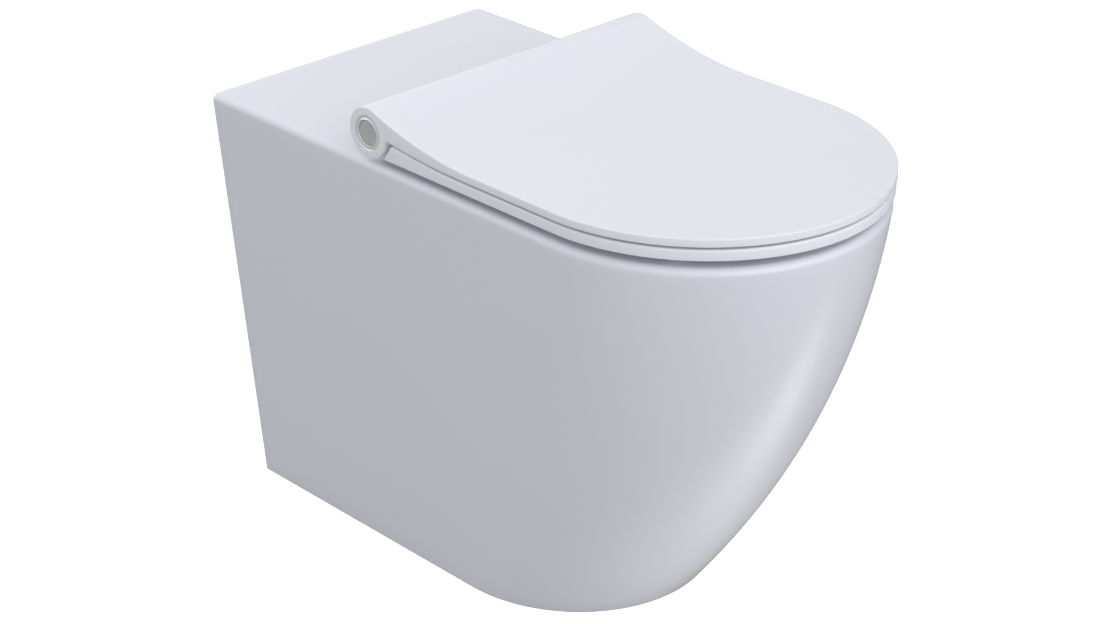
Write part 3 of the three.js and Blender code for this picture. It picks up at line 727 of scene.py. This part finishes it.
def barrel(seat):
    """The lid's barrel, turned about the hinge axis, with rounded end edges and one of its lines where the
    swoop meets it."""
    ends = seat.barrel_round
    profile = rod_profile(BARREL_RADIUS, LID_LOW.x, LID_HIGH.x, ends, ends)
    return lathe("barrel", profile, "x", ON_AXIS, 120, math.pi / 2 + swoop(seat)[1])


def wedge(name, start, end, near, far):
    """Sector about the hinge axis between two angles in degrees: 0 points forwards, 90 down."""
    angle = np.radians(np.linspace(start, end, 25))
    reach = BARREL_RADIUS + PAST
    rim = np.stack([AXIS.y - reach * np.cos(angle), AXIS.z - reach * np.sin(angle)], -1)
    outline = np.concatenate([[(AXIS.y, AXIS.z)], rim])
    rings = np.stack([np.column_stack([np.full(len(outline), x), outline]) for x in (near, far)])
    count = len(outline)
    faces = [list(range(count))[::-1], list(range(count, 2 * count))]
    faces += [[i, (i + 1) % count, count + (i + 1) % count, count + i] for i in range(count)]
    return put(name, rings, faces)


def rod_x(name, radius, near, far, around=96):
    """Plain rod on the hinge axis between two stations."""
    low, high = sorted((near, far))
    return lathe(name, rod_profile(radius, low, high), "x", ON_AXIS, around)


def lid_piece(pan, seat):
    """The lid: plate and barrel joined, less the notches and bores on the hinge axis."""
    lid = combine(lid_plate(pan, seat), "UNION", barrel(seat))
    cavity = BARREL_RADIUS - seat.barrel_wall
    post_half = math.degrees(math.asin((POST_HIGH.y - POST_LOW.y) / 2 / cavity))
    margin = seat.notch_margin
    gap = seat.slot_gap
    post_notch = (90 - post_half - margin, 90 + post_half + margin + seat.swing)
    knuckle_notch = (14, 75 + margin + seat.swing)
    knuckle = (KNUCKLE_LOW.x - FIT, KNUCKLE_HIGH.x + FIT)
    for _, sign in SIDES:
        post_span = (sign * (POST_LOW.x - gap), sign * knuckle[0])
        knuckle_span = (sign * (knuckle[0] - gap), sign * (knuckle[1] + gap))
        end_span = (sign * (knuckle[1] + gap), sign * (LID_HIGH.x + PAST))
        pin_span = (sign * (POST_LOW.x - gap - 2 * seat.barrel_wall), sign * (knuckle[1] + gap))
        combine(
            lid,
            "DIFFERENCE",
            rod_x("post_room", cavity, *post_span),
            rod_x("knuckle_room", cavity, *knuckle_span),
            wedge("post_notch", *post_notch, *post_span),
            wedge("knuckle_notch", *knuckle_notch, *knuckle_span),
            rod_x("end_bore", BEZEL_HIGH.z - AXIS.z + FIT, *end_span),
            rod_x("pin_bore", seat.pin_hole, *pin_span, 32),
        )
    return lid


def ring_piece(pan, seat):
    """The ring: sections run from its opening over the top, round the outer edge and back below. The rear
    face slants along the barrel, and a knuckle on an arm reaches to each side of the hinge axis."""
    half, front = PAN_HIGH.x, WALL - RING_LOW.y
    low, top = RING_LOW.z, RING_LOW.z + seat.ring_thickness
    reach = BARREL_RADIUS + seat.barrel_gap
    low_back = AXIS_DEPTH - math.sqrt(reach**2 - (AXIS.z - low) ** 2)
    top_back = AXIS_DEPTH - reach - seat.rear_slant
    over, under = seat.ring_top_round, seat.ring_low_round
    corner = 0.0015
    top_share, low_share = 0.13, 0.05  # how much of the rear face's height the rounds at its ends take

    def outline(inset, share):
        back = low_back + (top_back - low_back) * share - inset
        return plan_rings(half - inset, front - inset, pan.rim_nose - inset, pan.rim_power, back, corner, 0)

    outer_top = outline(over * DRAWN, 1 - top_share * GONE)
    outer_low = outline(under * DRAWN[::-1], low_share * GONE[::-1])
    centre = WALL - (front - seat.front_width - seat.hole_half_length)

    def hole(grow):
        wide, long = seat.hole_half_width + grow, seat.hole_half_length + grow
        return oval_rings(wide, long, centre, 0, outer_top[0])

    inner_top = hole(over * DRAWN[::-1])
    inner_low = hole(under * DRAWN)
    top_face = blend_rings(inner_top[-1], outer_top[0], np.linspace(0, 1, 26)[1:-1])
    low_face = blend_rings(outer_low[-1], inner_low[0], np.linspace(0, 1, 10)[1:-1])

    def raised(rings, fall):
        """Puts rings on the ring's upper face, lowered by the fall."""
        lifted = rings.copy()
        height = top + rise(seat, np.minimum(rings[..., 1] - WALL, top_back))
        lifted[..., 2] = height - np.asarray(fall)[:, None]
        return lifted

    def lowered(rings, lift):
        """Puts rings on the ring's lower face, raised by the lift."""
        laid = rings.copy()
        laid[..., 2] = low + np.asarray(lift)[:, None]
        return laid

    rings = np.concatenate(
        [
            raised(inner_top, over * GONE[::-1]),
            raised(top_face, np.zeros(len(top_face))),
            raised(outer_top, over * GONE),
            lowered(outer_low, under * GONE[::-1]),
            lowered(low_face, np.zeros(len(low_face))),
            lowered(inner_low, under * GONE),
        ]
    )
    ring = skin("ring_shell", rings, capped=False)
    outer = BARREL_RADIUS - seat.barrel_wall - seat.knuckle_gap
    bore = KNUCKLE_HIGH.z - AXIS.z + FIT
    for _, sign in SIDES:
        near, far = sorted((sign * (KNUCKLE_LOW.x - FIT), sign * (KNUCKLE_HIGH.x + FIT)))
        arm_low = (near, WALL + low_back - 0.004, low)
        arm_high = (far, AXIS.y - (outer + bore) / 2 + 0.0055, top - 0.001)
        sleeve = rod_profile(outer, near, far, SLEEVE_ROUND, SLEEVE_ROUND)
        combine(
            ring,
            "UNION",
            block("arm", arm_low, arm_high),
            lathe("sleeve", sleeve, "x", ON_AXIS, 96),
        )
        combine(ring, "DIFFERENCE", rod_x("knuckle_bore", bore, near - PAST, far + PAST, 64))
    return ring


# ---------------------------------------------------------------- hinge, buffers and seals


def bezel_piece(side, sign):
    """Chrome ring in the barrel's end: a rounded outer edge, a shallow groove and a raised inner lip."""
    outer = BEZEL_HIGH.z - AXIS.z
    inner = DISC_HIGH.z - AXIS.z + FIT
    face, back = BEZEL_HIGH.x, BEZEL_LOW.x
    edge = 0.0005
    groove = arc(((outer + inner) / 2 + 0.0006, face + 0.0028), 0.0036, 235, 305, 8)
    profile = np.concatenate(
        [
            [(inner, back)],
            [(inner, face - 0.0006)],
            arc((inner + edge, face - edge), edge, 180, 60, 5),
            groove,
            arc((outer - edge, face - 0.0009), edge, 80, 0, 4),
            [(outer, back)],
        ]
    )
    profile[:, 1] *= sign
    return lathe("bezel_" + side, profile, "x", ON_AXIS, 96, closed=True)


def disc_piece(side, sign):
    """Grey disc inside the bezel, with a rounded edge and a face dished by a tenth of a millimetre."""
    radius = DISC_HIGH.z - AXIS.z
    edge = 0.0005
    rim = arc((radius - edge, DISC_HIGH.x - edge), edge, 0, 90)
    spread = np.linspace(0.92, 0.06, 8)
    dish = np.column_stack([radius * spread, DISC_HIGH.x - 0.0001 * (1 - spread**2)])
    profile = np.concatenate([[(radius, DISC_LOW.x)], rim, dish])
    profile[:, 1] *= sign
    return lathe("disc_" + side, profile, "x", ON_AXIS, 96)


def post_piece(side, seat):
    """Hinge post: an eye on the axis and a leg down to the base plate, bored for pin and stud head."""
    node_low, node_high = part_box("hinge_post_" + side)
    eye = node_high.z - AXIS.z
    profile = rod_profile(eye, node_low.x, node_high.x, SLEEVE_ROUND, SLEEVE_ROUND)
    post = lathe("post_" + side, profile, "x", ON_AXIS, 72)
    leg = block("leg", node_low, (node_high.x, node_high.y, AXIS.z), LEG_ROUND)
    combine(post, "UNION", leg)
    head_low, head_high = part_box("seat_stud_" + side)
    head = (head_high.x - head_low.x) / 2 + FIT
    middle = ((head_low.x + head_high.x) / 2, AXIS.y, 0)
    socket = rod_profile(head, node_low.z - PAST, head_high.z + 0.003)
    return combine(
        post,
        "DIFFERENCE",
        rod_x("pin_bore", seat.pin_hole, node_low.x - PAST, node_high.x + PAST, 32),
        lathe("socket", socket, "z", middle, 32),
    )


def base_piece(side):
    """Round base plate between the post and the deck, with a rounded upper edge."""
    low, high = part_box("hinge_base_" + side)
    middle = ((low.x + high.x) / 2, AXIS.y, 0)
    outer = (high.x - low.x) / 2
    edge = 0.0003
    profile = np.concatenate(
        [
            [(PLATE_BORE, low.z)],
            [(PLATE_BORE, high.z)],
            arc((outer - PLATE_ROUND, high.z - PLATE_ROUND), PLATE_ROUND, 90, 0),
            arc((outer - edge, low.z + edge), edge, 0, -90, 3),
        ]
    )
    return lathe("base_plate_" + side, profile, "z", middle, 96, closed=True)


def buffer_piece(node):
    """Rubber buffer: a rounded puck with a shallow dish where it touches."""
    low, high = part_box(node)
    radius = (high.x - low.x) / 2
    middle = ((low.x + high.x) / 2, (low.y + high.y) / 2, 0)
    edge = min(0.0014, 0.4 * (high.z - low.z))
    rim_share, dish_depth = 0.75, 0.0003
    spread = np.linspace(rim_share, 0.1, 6)
    dish = np.column_stack([radius * spread, low.z + dish_depth * (rim_share - spread)])
    profile = np.concatenate([dish[::-1], rod_profile(radius, low.z, high.z, edge, edge)])
    return lathe(node.replace("buffer", "foot"), profile, "z", middle, 64)


def collar_piece(name, node, inner, lips):
    """Rubber collar about the Y axis: a sleeve whose outside carries rounded sealing lips."""
    low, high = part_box(node)
    outer = (high.x - low.x) / 2
    middle = (0, 0, (low.z + high.z) / 2)
    shoulder, lip_height, end_gap = 0.0016, 0.0012, 0.0006
    station = np.linspace(low.y + end_gap, high.y - end_gap, 49)
    wave = 0.5 - 0.5 * np.cos(2 * math.pi * lips * (station - low.y) / (high.y - low.y))
    skin_line = np.column_stack([outer - lip_height * (1 - wave), station])
    start = [(inner, low.y), (outer - shoulder, low.y)]
    end = [(outer - shoulder, high.y), (inner, high.y)]
    profile = np.concatenate([start, skin_line, end])
    return lathe(name, profile, "y", middle, 96, closed=True)


# ---------------------------------------------------------------- shader groups


def group(name, inputs, outputs):
    """Empty shader node group with named sockets. Each socket is (name, type, default)."""
    tree = bpy.data.node_groups.new(name, "ShaderNodeTree")
    for label, kind, default in inputs:
        socket = tree.interface.new_socket(label, in_out="INPUT", socket_type=kind)
        if default is not None:
            socket.default_value = default
    for label, kind in outputs:
        tree.interface.new_socket(label, in_out="OUTPUT", socket_type=kind)
    return tree, tree.nodes.new("NodeGroupInput"), tree.nodes.new("NodeGroupOutput")


def feed(tree, socket, value):
    """Links another socket to this one, or sets it to a constant."""
    if isinstance(value, bpy.types.NodeSocket):
        tree.links.new(value, socket)
    else:
        socket.default_value = value


def math_node(tree, operation, first, second=0.0):
    """Math node whose inputs are sockets or numbers."""
    node = tree.nodes.new("ShaderNodeMath")
    node.operation = operation
    feed(tree, node.inputs[0], first)
    feed(tree, node.inputs[1], second)
    return node.outputs[0]


def vector_node(tree, operation, output="Value", **values):
    """Vector math node. Each of the values is named by its socket: first, second or Scale."""
    node = tree.nodes.new("ShaderNodeVectorMath")
    node.operation = operation
    places = {"first": 0, "second": 1, "Scale": "Scale"}
    for label, value in values.items():
        feed(tree, node.inputs[places[label]], value)
    return node.outputs[output]


def group_node(tree, name, make, **values):
    """The shared group of that name, made the first time that it is needed, with its inputs fed."""
    node = tree.nodes.new("ShaderNodeGroup")
    node.node_tree = bpy.data.node_groups.get(name) or make()
    for label, value in values.items():
        feed(tree, node.inputs[label.replace("_", " ")], value)
    return node


def noise_node(tree, vector, scale, detail=2.0, roughness=0.5):
    """Noise texture, whose scale is a socket or a number."""
    node = tree.nodes.new("ShaderNodeTexNoise")
    tree.links.new(vector, node.inputs["Vector"])
    node.inputs["Detail"].default_value = detail
    node.inputs["Roughness"].default_value = roughness
    feed(tree, node.inputs["Scale"], scale)
    return node.outputs["Fac"]


def drift_group():
    """Tone and gloss that drift slowly over a surface.

    Colour is the base scaled by 1 + amount (noise - 0.5), and Roughness is the base plus its own amount
    times (noise - 0.5), from two noises of which one is finer."""
    tree, start, end = group(
        "Surface drift",
        [
            ("Vector", "NodeSocketVector", None),
            ("Colour", "NodeSocketColor", (0.8, 0.8, 0.8, 1)),
            ("Scale", "NodeSocketFloat", 6.0),
            ("Colour amount", "NodeSocketFloat", 0.03),
            ("Roughness", "NodeSocketFloat", 0.3),
            ("Roughness amount", "NodeSocketFloat", 0.05),
        ],
        [("Colour", "NodeSocketColor"), ("Roughness", "NodeSocketFloat")],
    )
    slow = noise_node(tree, start.outputs["Vector"], start.outputs["Scale"], 2.0)
    fine_scale = math_node(tree, "MULTIPLY", start.outputs["Scale"], 7.0)
    fine = noise_node(tree, start.outputs["Vector"], fine_scale, 3.0, 0.6)
    slow_part = math_node(tree, "MULTIPLY", slow, 0.7)
    fine_part = math_node(tree, "MULTIPLY", fine, 0.3)
    centred = math_node(tree, "SUBTRACT", math_node(tree, "ADD", slow_part, fine_part), 0.5)
    gain = math_node(tree, "ADD", math_node(tree, "MULTIPLY", centred, start.outputs["Colour amount"]), 1.0)
    toned = vector_node(tree, "SCALE", "Vector", first=start.outputs["Colour"], Scale=gain)
    tree.links.new(toned, end.inputs["Colour"])
    uneven = math_node(tree, "SUBTRACT", fine, 0.5)
    gloss = math_node(tree, "MULTIPLY", uneven, start.outputs["Roughness amount"])
    tree.links.new(math_node(tree, "ADD", gloss, start.outputs["Roughness"]), end.inputs["Roughness"])
    return tree


def relief_group():
    """Height of a moulded or fired skin: a long wave plus a fine grain, each with its scale and amount."""
    tree, start, end = group(
        "Surface relief",
        [
            ("Vector", "NodeSocketVector", None),
            ("Wave scale", "NodeSocketFloat", 9.0),
            ("Wave amount", "NodeSocketFloat", 1.0),
            ("Grain scale", "NodeSocketFloat", 900.0),
            ("Grain amount", "NodeSocketFloat", 0.1),
        ],
        [("Height", "NodeSocketFloat")],
    )
    wave = noise_node(tree, start.outputs["Vector"], start.outputs["Wave scale"], 1.0, 0.3)
    grain = noise_node(tree, start.outputs["Vector"], start.outputs["Grain scale"], 2.0, 0.5)
    tall = math_node(tree, "MULTIPLY", wave, start.outputs["Wave amount"])
    short = math_node(tree, "MULTIPLY", grain, start.outputs["Grain amount"])
    tree.links.new(math_node(tree, "ADD", tall, short), end.inputs["Height"])
    return tree


def turned_group():
    """Height of turning marks: fine noise read only along the distance from an axis, so it forms rings."""
    tree, start, end = group(
        "Turning marks",
        [
            ("Vector", "NodeSocketVector", None),
            ("Scale", "NodeSocketFloat", 2500.0),
        ],
        [("Height", "NodeSocketFloat")],
    )
    apart = tree.nodes.new("ShaderNodeSeparateXYZ")
    tree.links.new(start.outputs["Vector"], apart.inputs[0])
    flat = tree.nodes.new("ShaderNodeCombineXYZ")
    tree.links.new(apart.outputs["Y"], flat.inputs["Y"])
    tree.links.new(apart.outputs["Z"], flat.inputs["Z"])
    away = vector_node(tree, "LENGTH", first=flat.outputs[0])
    line = tree.nodes.new("ShaderNodeCombineXYZ")
    tree.links.new(away, line.inputs["X"])
    tree.links.new(apart.outputs["X"], line.inputs["Y"])
    marks = noise_node(tree, line.outputs[0], start.outputs["Scale"], 2.0, 0.6)
    tree.links.new(marks, end.inputs["Height"])
    return tree


def surface(
    name, colour, roughness, drift=(6.0, 0.03, 0.05), relief=(9.0, 1.0, 900.0, 0.1), bump=(0.1, 0.0005),
    turned=None, **sockets
):
    """Material on object coordinates. drift is (scale, colour amount, roughness amount), relief is
    (wave scale, wave amount, grain scale, grain amount), bump is (strength, distance), turned is the point
    that turning marks run around, and the rest are constants on the shader's own sockets."""
    made = bpy.data.materials.new(name)
    made.use_nodes = True
    tree = made.node_tree
    shader = tree.nodes["Principled BSDF"]
    for label, value in sockets.items():
        shader.inputs[label.replace("_", " ")].default_value = value
    place = tree.nodes.new("ShaderNodeTexCoord").outputs["Object"]
    tone = group_node(
        tree, "Surface drift", drift_group, Vector=place, Colour=(*colour, 1), Scale=drift[0],
        Colour_amount=drift[1], Roughness=roughness, Roughness_amount=drift[2],
    )
    tree.links.new(tone.outputs["Colour"], shader.inputs["Base Color"])
    tree.links.new(tone.outputs["Roughness"], shader.inputs["Roughness"])
    if turned is None:
        grain = group_node(
            tree, "Surface relief", relief_group, Vector=place, Wave_scale=relief[0],
            Wave_amount=relief[1], Grain_scale=relief[2], Grain_amount=relief[3],
        )
    else:
        centre = tree.nodes.new("ShaderNodeMapping")
        centre.inputs["Location"].default_value = [-value for value in turned]
        tree.links.new(place, centre.inputs["Vector"])
        grain = group_node(tree, "Turning marks", turned_group, Vector=centre.outputs[0])
    lift = tree.nodes.new("ShaderNodeBump")
    lift.inputs["Strength"].default_value = bump[0]
    lift.inputs["Distance"].default_value = bump[1]
    tree.links.new(grain.outputs["Height"], lift.inputs["Height"])
    tree.links.new(lift.outputs["Normal"], shader.inputs["Normal"])
    return made


# What surface() takes for each finish. A finish has the name of its colour.
RUBBER = {"relief": (60.0, 0.4, 1800.0, 0.6), "bump": (0.3, 0.0002)}
TURNED = {"bump": (0.3, 0.00008), "turned": ON_AXIS}
FINISHES = {
    # glossy, with the faint long waves of a fired surface
    "glaze": dict(
        roughness=0.20, drift=(5.0, 0.02, 0.05), relief=(11.0, 1.0, 160.0, 0.02), bump=(0.35, 0.0012),
        Coat_Weight=0.25, Coat_Roughness=0.12,
    ),
    # a satin moulded skin
    "plastic": dict(
        roughness=0.30, drift=(7.0, 0.015, 0.05), relief=(6.0, 0.6, 1500.0, 0.05), bump=(0.12, 0.0006),
        Coat_Weight=0.15, Coat_Roughness=0.2,
    ),
    # a fine spark texture
    "hinge": dict(
        roughness=0.45, drift=(20.0, 0.05, 0.08), relief=(20.0, 0.3, 1400.0, 0.5), bump=(0.25, 0.0002)
    ),
    # bright satin plating, slightly uneven, over a pale base
    "chrome": dict(
        roughness=0.16, drift=(40.0, 0.05, 0.08), relief=(60.0, 0.5, 1200.0, 0.05), bump=(0.06, 0.0003),
        Metallic=0.45, Coat_Weight=0.5, Coat_Roughness=0.05,
    ),
    # grey satin plastic with turned rings
    "cap": dict(TURNED, roughness=0.42, drift=(90.0, 0.06, 0.1), bump=(0.25, 0.00008)),
    # bare steel with turning marks
    "steel": dict(TURNED, roughness=0.28, drift=(60.0, 0.08, 0.12), Metallic=1.0),
    # soft rubbers with a matt moulded skin
    "pale_rubber": dict(RUBBER, roughness=0.72, drift=(50.0, 0.08, 0.1)),
    "dark_rubber": dict(RUBBER, roughness=0.66, drift=(50.0, 0.3, 0.1)),
}


def finish(kind):
    """The material of a finish, made the first time that it is needed."""
    name = kind + "_finish"
    colour = getattr(bpy.context.scene.toilet_finish, kind)
    return bpy.data.materials.get(name) or surface(name, colour, **FINISHES[kind])


# ---------------------------------------------------------------- operators


class TOILET_OT_pan(bpy.types.Operator):
    """Build the glazed pan"""

    bl_idname = "toilet.pan"
    bl_label = "Pan"

    def execute(self, context):
        piece = pan_piece(context.scene.toilet_pan)
        finish_piece(piece, finish("glaze"), "pan_body", "ceramic", "pan")
        return {"FINISHED"}


class TOILET_OT_lid(bpy.types.Operator):
    """Build the lid with its barrel"""

    bl_idname = "toilet.lid"
    bl_label = "Lid"

    def execute(self, context):
        scene = context.scene
        piece = lid_piece(scene.toilet_pan, scene.toilet_seat)
        finish_piece(piece, finish("plastic"), "lid_body", "seat_plastic", "lid")
        return {"FINISHED"}


class TOILET_OT_ring(bpy.types.Operator):
    """Build the seat ring with its knuckles"""

    bl_idname = "toilet.ring"
    bl_label = "Seat ring"

    def execute(self, context):
        scene = context.scene
        piece = ring_piece(scene.toilet_pan, scene.toilet_seat)
        finish_piece(piece, finish("plastic"), "ring_body", "seat_plastic", "seat_ring")
        return {"FINISHED"}


class TOILET_OT_trim(bpy.types.Operator):
    """Build the bezels and discs in the barrel's ends"""

    bl_idname = "toilet.trim"
    bl_label = "End bezels and discs"

    def execute(self, context):
        for side, sign in SIDES:
            bezel = bezel_piece(side, sign)
            finish_piece(bezel, finish("chrome"), "lid_body", "chrome_trim", "end_bezel_" + side)
            disc = disc_piece(side, sign)
            finish_piece(disc, finish("cap"), "lid_body", "cap_grey", "end_disc_" + side)
        return {"FINISHED"}


class TOILET_OT_posts(bpy.types.Operator):
    """Build the hinge posts and their base plates"""

    bl_idname = "toilet.posts"
    bl_label = "Hinge posts"

    def execute(self, context):
        for side, _ in SIDES:
            post = post_piece(side, context.scene.toilet_seat)
            finish_piece(post, finish("hinge"), "pan_body", "hinge_plastic", "hinge_post_" + side)
            plate = base_piece(side)
            finish_piece(plate, finish("chrome"), "pan_body", "chrome_trim", "hinge_base_" + side)
        return {"FINISHED"}


class TOILET_OT_buffers(bpy.types.Operator):
    """Build the rubber buffers under the ring and under the lid"""

    bl_idname = "toilet.buffers"
    bl_label = "Buffers"

    def execute(self, context):
        rubber = finish("pale_rubber")
        for side, _ in SIDES:
            for node, body in (
                ("ring_buffer_front_" + side, "ring_body"),
                ("ring_buffer_rear_" + side, "ring_body"),
                ("lid_buffer_" + side, "lid_body"),
            ):
                finish_piece(buffer_piece(node), rubber, body, "buffer_rubber", node)
        return {"FINISHED"}


class TOILET_OT_seals(bpy.types.Operator):
    """Build the flush seal and the outlet collar"""

    bl_idname = "toilet.seals"
    bl_label = "Seals"

    def execute(self, context):
        sizes = context.scene.toilet_pan
        inlet = collar_piece("flush_seal", "inlet_seal", sizes.flush_seal_bore, 4)
        finish_piece(inlet, finish("dark_rubber"), "pan_body", "black_rubber", "inlet_seal")
        outlet = collar_piece("outlet_collar", "outlet_seal", sizes.collar_bore, 3)
        finish_piece(outlet, finish("pale_rubber"), "pan_body", "buffer_rubber", "outlet_seal")
        return {"FINISHED"}


class TOILET_OT_fixings(bpy.types.Operator):
    """Finish the pins, dampers, bushes and deck fixings that the frame brings"""

    bl_idname = "toilet.fixings"
    bl_label = "Pins and fixings"

    def execute(self, context):
        made = {
            "hinge_pin": finish("steel"),
            "seat_stud": finish("steel"),
            "stud_washer": finish("steel"),
            "stud_sleeve": finish("dark_rubber"),
            "wing_nut": finish("hinge"),
            "lid_damper": finish("hinge"),
            "lid_bush": finish("hinge"),
            "ring_damper": finish("hinge"),
            "ring_bush": finish("hinge"),
        }
        for name, node in frame["nodes"].items():
            if node.hide_render:
                continue
            kind = name.rsplit("_", 1)[0]
            if kind not in made:
                raise RuntimeError("no finish is named for " + name)
            node.data.materials.clear()
            node.data.materials.append(made[kind])
        return {"FINISHED"}


class TOILET_OT_stage(bpy.types.Operator):
    """Set the camera, the pale floor and the studio lights"""

    bl_idname = "toilet.stage"
    bl_label = "Stage"

    def execute(self, context):
        scene = context.scene
        stage = scene.toilet_stage
        aim = Vector(stage.aim)
        azimuth, elevation = math.radians(stage.azimuth), math.radians(stage.elevation)
        away = Vector(
            (
                math.sin(azimuth) * math.cos(elevation),
                -math.cos(azimuth) * math.cos(elevation),
                math.sin(elevation),
            )
        )
        lens = bpy.data.cameras.new("camera")
        lens.lens = stage.lens
        lens.sensor_width = 36
        lens.clip_end = 50
        camera = bpy.data.objects.new("camera", lens)
        camera.location = aim + away * stage.distance
        camera.rotation_euler = (-away).to_track_quat("-Z", "Y").to_euler()
        scene.collection.objects.link(camera)
        scene.camera = camera

        scene.view_settings.view_transform = "Standard"
        scene.world = sky(stage)

        corners = np.array([(-1, -1, 0), (1, -1, 0), (1, 1, 0), (-1, 1, 0)]) * FLOOR_HALF
        mesh = bpy.data.meshes.new("floor")
        mesh.from_pydata((corners - [0, 0, FLOOR_DROP]).tolist(), [], [[0, 1, 2, 3]])
        floor = bpy.data.objects.new("floor", mesh)
        scene.collection.objects.link(floor)
        mesh.materials.append(floor_material(stage))
        return {"FINISHED"}


SKY_LIGHTS = (
    ("sky_top", (0, 0, 1)),
    ("sky_high_front", (0, -0.7, 0.7)),
    ("sky_left", (-1, 0, 0.1)),
    ("sky_front", (0, -1, 0.1)),
    ("sky_back", (0, 1, 0.1)),
)


def sky(stage):
    """Soft studio surround: an even light plus one broad light for each direction, which falls off with
    the square of the cosine. The camera itself sees plain white."""
    world = bpy.data.worlds.new("studio")
    world.use_nodes = True
    tree = world.node_tree
    backdrop = tree.nodes["Background"]
    backdrop.inputs["Color"].default_value = SKY_LIGHT
    look = tree.nodes.new("ShaderNodeTexCoord").outputs["Generated"]
    total = stage.sky_even
    for name, direction in SKY_LIGHTS:
        facing = vector_node(tree, "DOT_PRODUCT", first=look, second=Vector(direction).normalized())
        cosine = math_node(tree, "MAXIMUM", facing, 0.0)
        lobe = math_node(tree, "MULTIPLY", math_node(tree, "POWER", cosine, 2.0), getattr(stage, name))
        total = math_node(tree, "ADD", lobe, total)
    seen = tree.nodes.new("ShaderNodeLightPath").outputs["Is Camera Ray"]
    tree.links.new(math_node(tree, "MAXIMUM", total, seen), backdrop.inputs["Strength"])
    return world


def floor_material(stage):
    """Pale studio floor that gives off light: the same everywhere, plus a long soft pool at the front right,
    exp(-(along / long)^2 - (across / wide)^2). The camera itself sees it as plain white."""
    relief = (3.0, 0.2, 60.0, 0.02)
    made = surface("studio_floor", FLOOR_GREY, 0.8, (0.8, 0.01, 0.02), relief, (0.05, 0.001))
    tree = made.node_tree
    shader = tree.nodes["Principled BSDF"]
    shader.inputs["Specular IOR Level"].default_value = 0.0
    place = tree.nodes.new("ShaderNodeTexCoord")
    turn = tree.nodes.new("ShaderNodeMapping")
    turn.vector_type = "TEXTURE"
    turn.inputs["Location"].default_value = stage.pool_place
    turn.inputs["Rotation"].default_value = (0, 0, math.radians(stage.pool_turn))
    turn.inputs["Scale"].default_value = (stage.pool_long, stage.pool_wide, 1)
    tree.links.new(place.outputs["Object"], turn.inputs["Vector"])
    square = vector_node(tree, "DOT_PRODUCT", first=turn.outputs[0], second=turn.outputs[0])
    fade = math_node(tree, "EXPONENT", math_node(tree, "MULTIPLY", square, -1.0))
    glow = math_node(tree, "ADD", math_node(tree, "MULTIPLY", fade, stage.pool_glow), stage.floor_glow)
    seen = tree.nodes.new("ShaderNodeLightPath").outputs["Is Camera Ray"]
    glow = math_node(tree, "MAXIMUM", glow, math_node(tree, "MULTIPLY", seen, FLOOR_SEEN))
    shader.inputs["Emission Color"].default_value = FLOOR_LIGHT
    tree.links.new(glow, shader.inputs["Emission Strength"])
    return made


class TOILET_PT_parts(bpy.types.Panel):
    """Sidebar list of the toilet's pieces and sizes"""

    bl_idname = "TOILET_PT_parts"
    bl_label = "Toilet"
    bl_space_type = "VIEW_3D"
    bl_region_type = "UI"
    bl_category = "Toilet"

    def draw(self, context):
        for operator in OPERATORS:
            self.layout.operator(operator.bl_idname)
        for name in GROUPS:
            group_of = getattr(context.scene, name)
            box = self.layout.box()
            for label in group_of.__annotations__:
                box.prop(group_of, label)


GROUPS = {
    "toilet_pan": TOILET_PG_pan,
    "toilet_seat": TOILET_PG_seat,
    "toilet_finish": TOILET_PG_finish,
    "toilet_stage": TOILET_PG_stage,
}
OPERATORS = (
    TOILET_OT_stage,
    TOILET_OT_pan,
    TOILET_OT_lid,
    TOILET_OT_ring,
    TOILET_OT_trim,
    TOILET_OT_posts,
    TOILET_OT_buffers,
    TOILET_OT_seals,
    TOILET_OT_fixings,
)
CLASSES = (*GROUPS.values(), *OPERATORS, TOILET_PT_parts)


def register():
    for kind in CLASSES:
        bpy.utils.register_class(kind)
    for name, kind in GROUPS.items():
        setattr(bpy.types.Scene, name, PointerProperty(type=kind))


def unregister():
    for name in GROUPS:
        delattr(bpy.types.Scene, name)
    for kind in reversed(CLASSES):
        bpy.utils.unregister_class(kind)


def main():
    """Registers the add-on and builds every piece."""
    register()
    for operator in OPERATORS:
        group_name, name = operator.bl_idname.split(".")
        getattr(getattr(bpy.ops, group_name), name)()


if __name__ == "__main__":
    main()
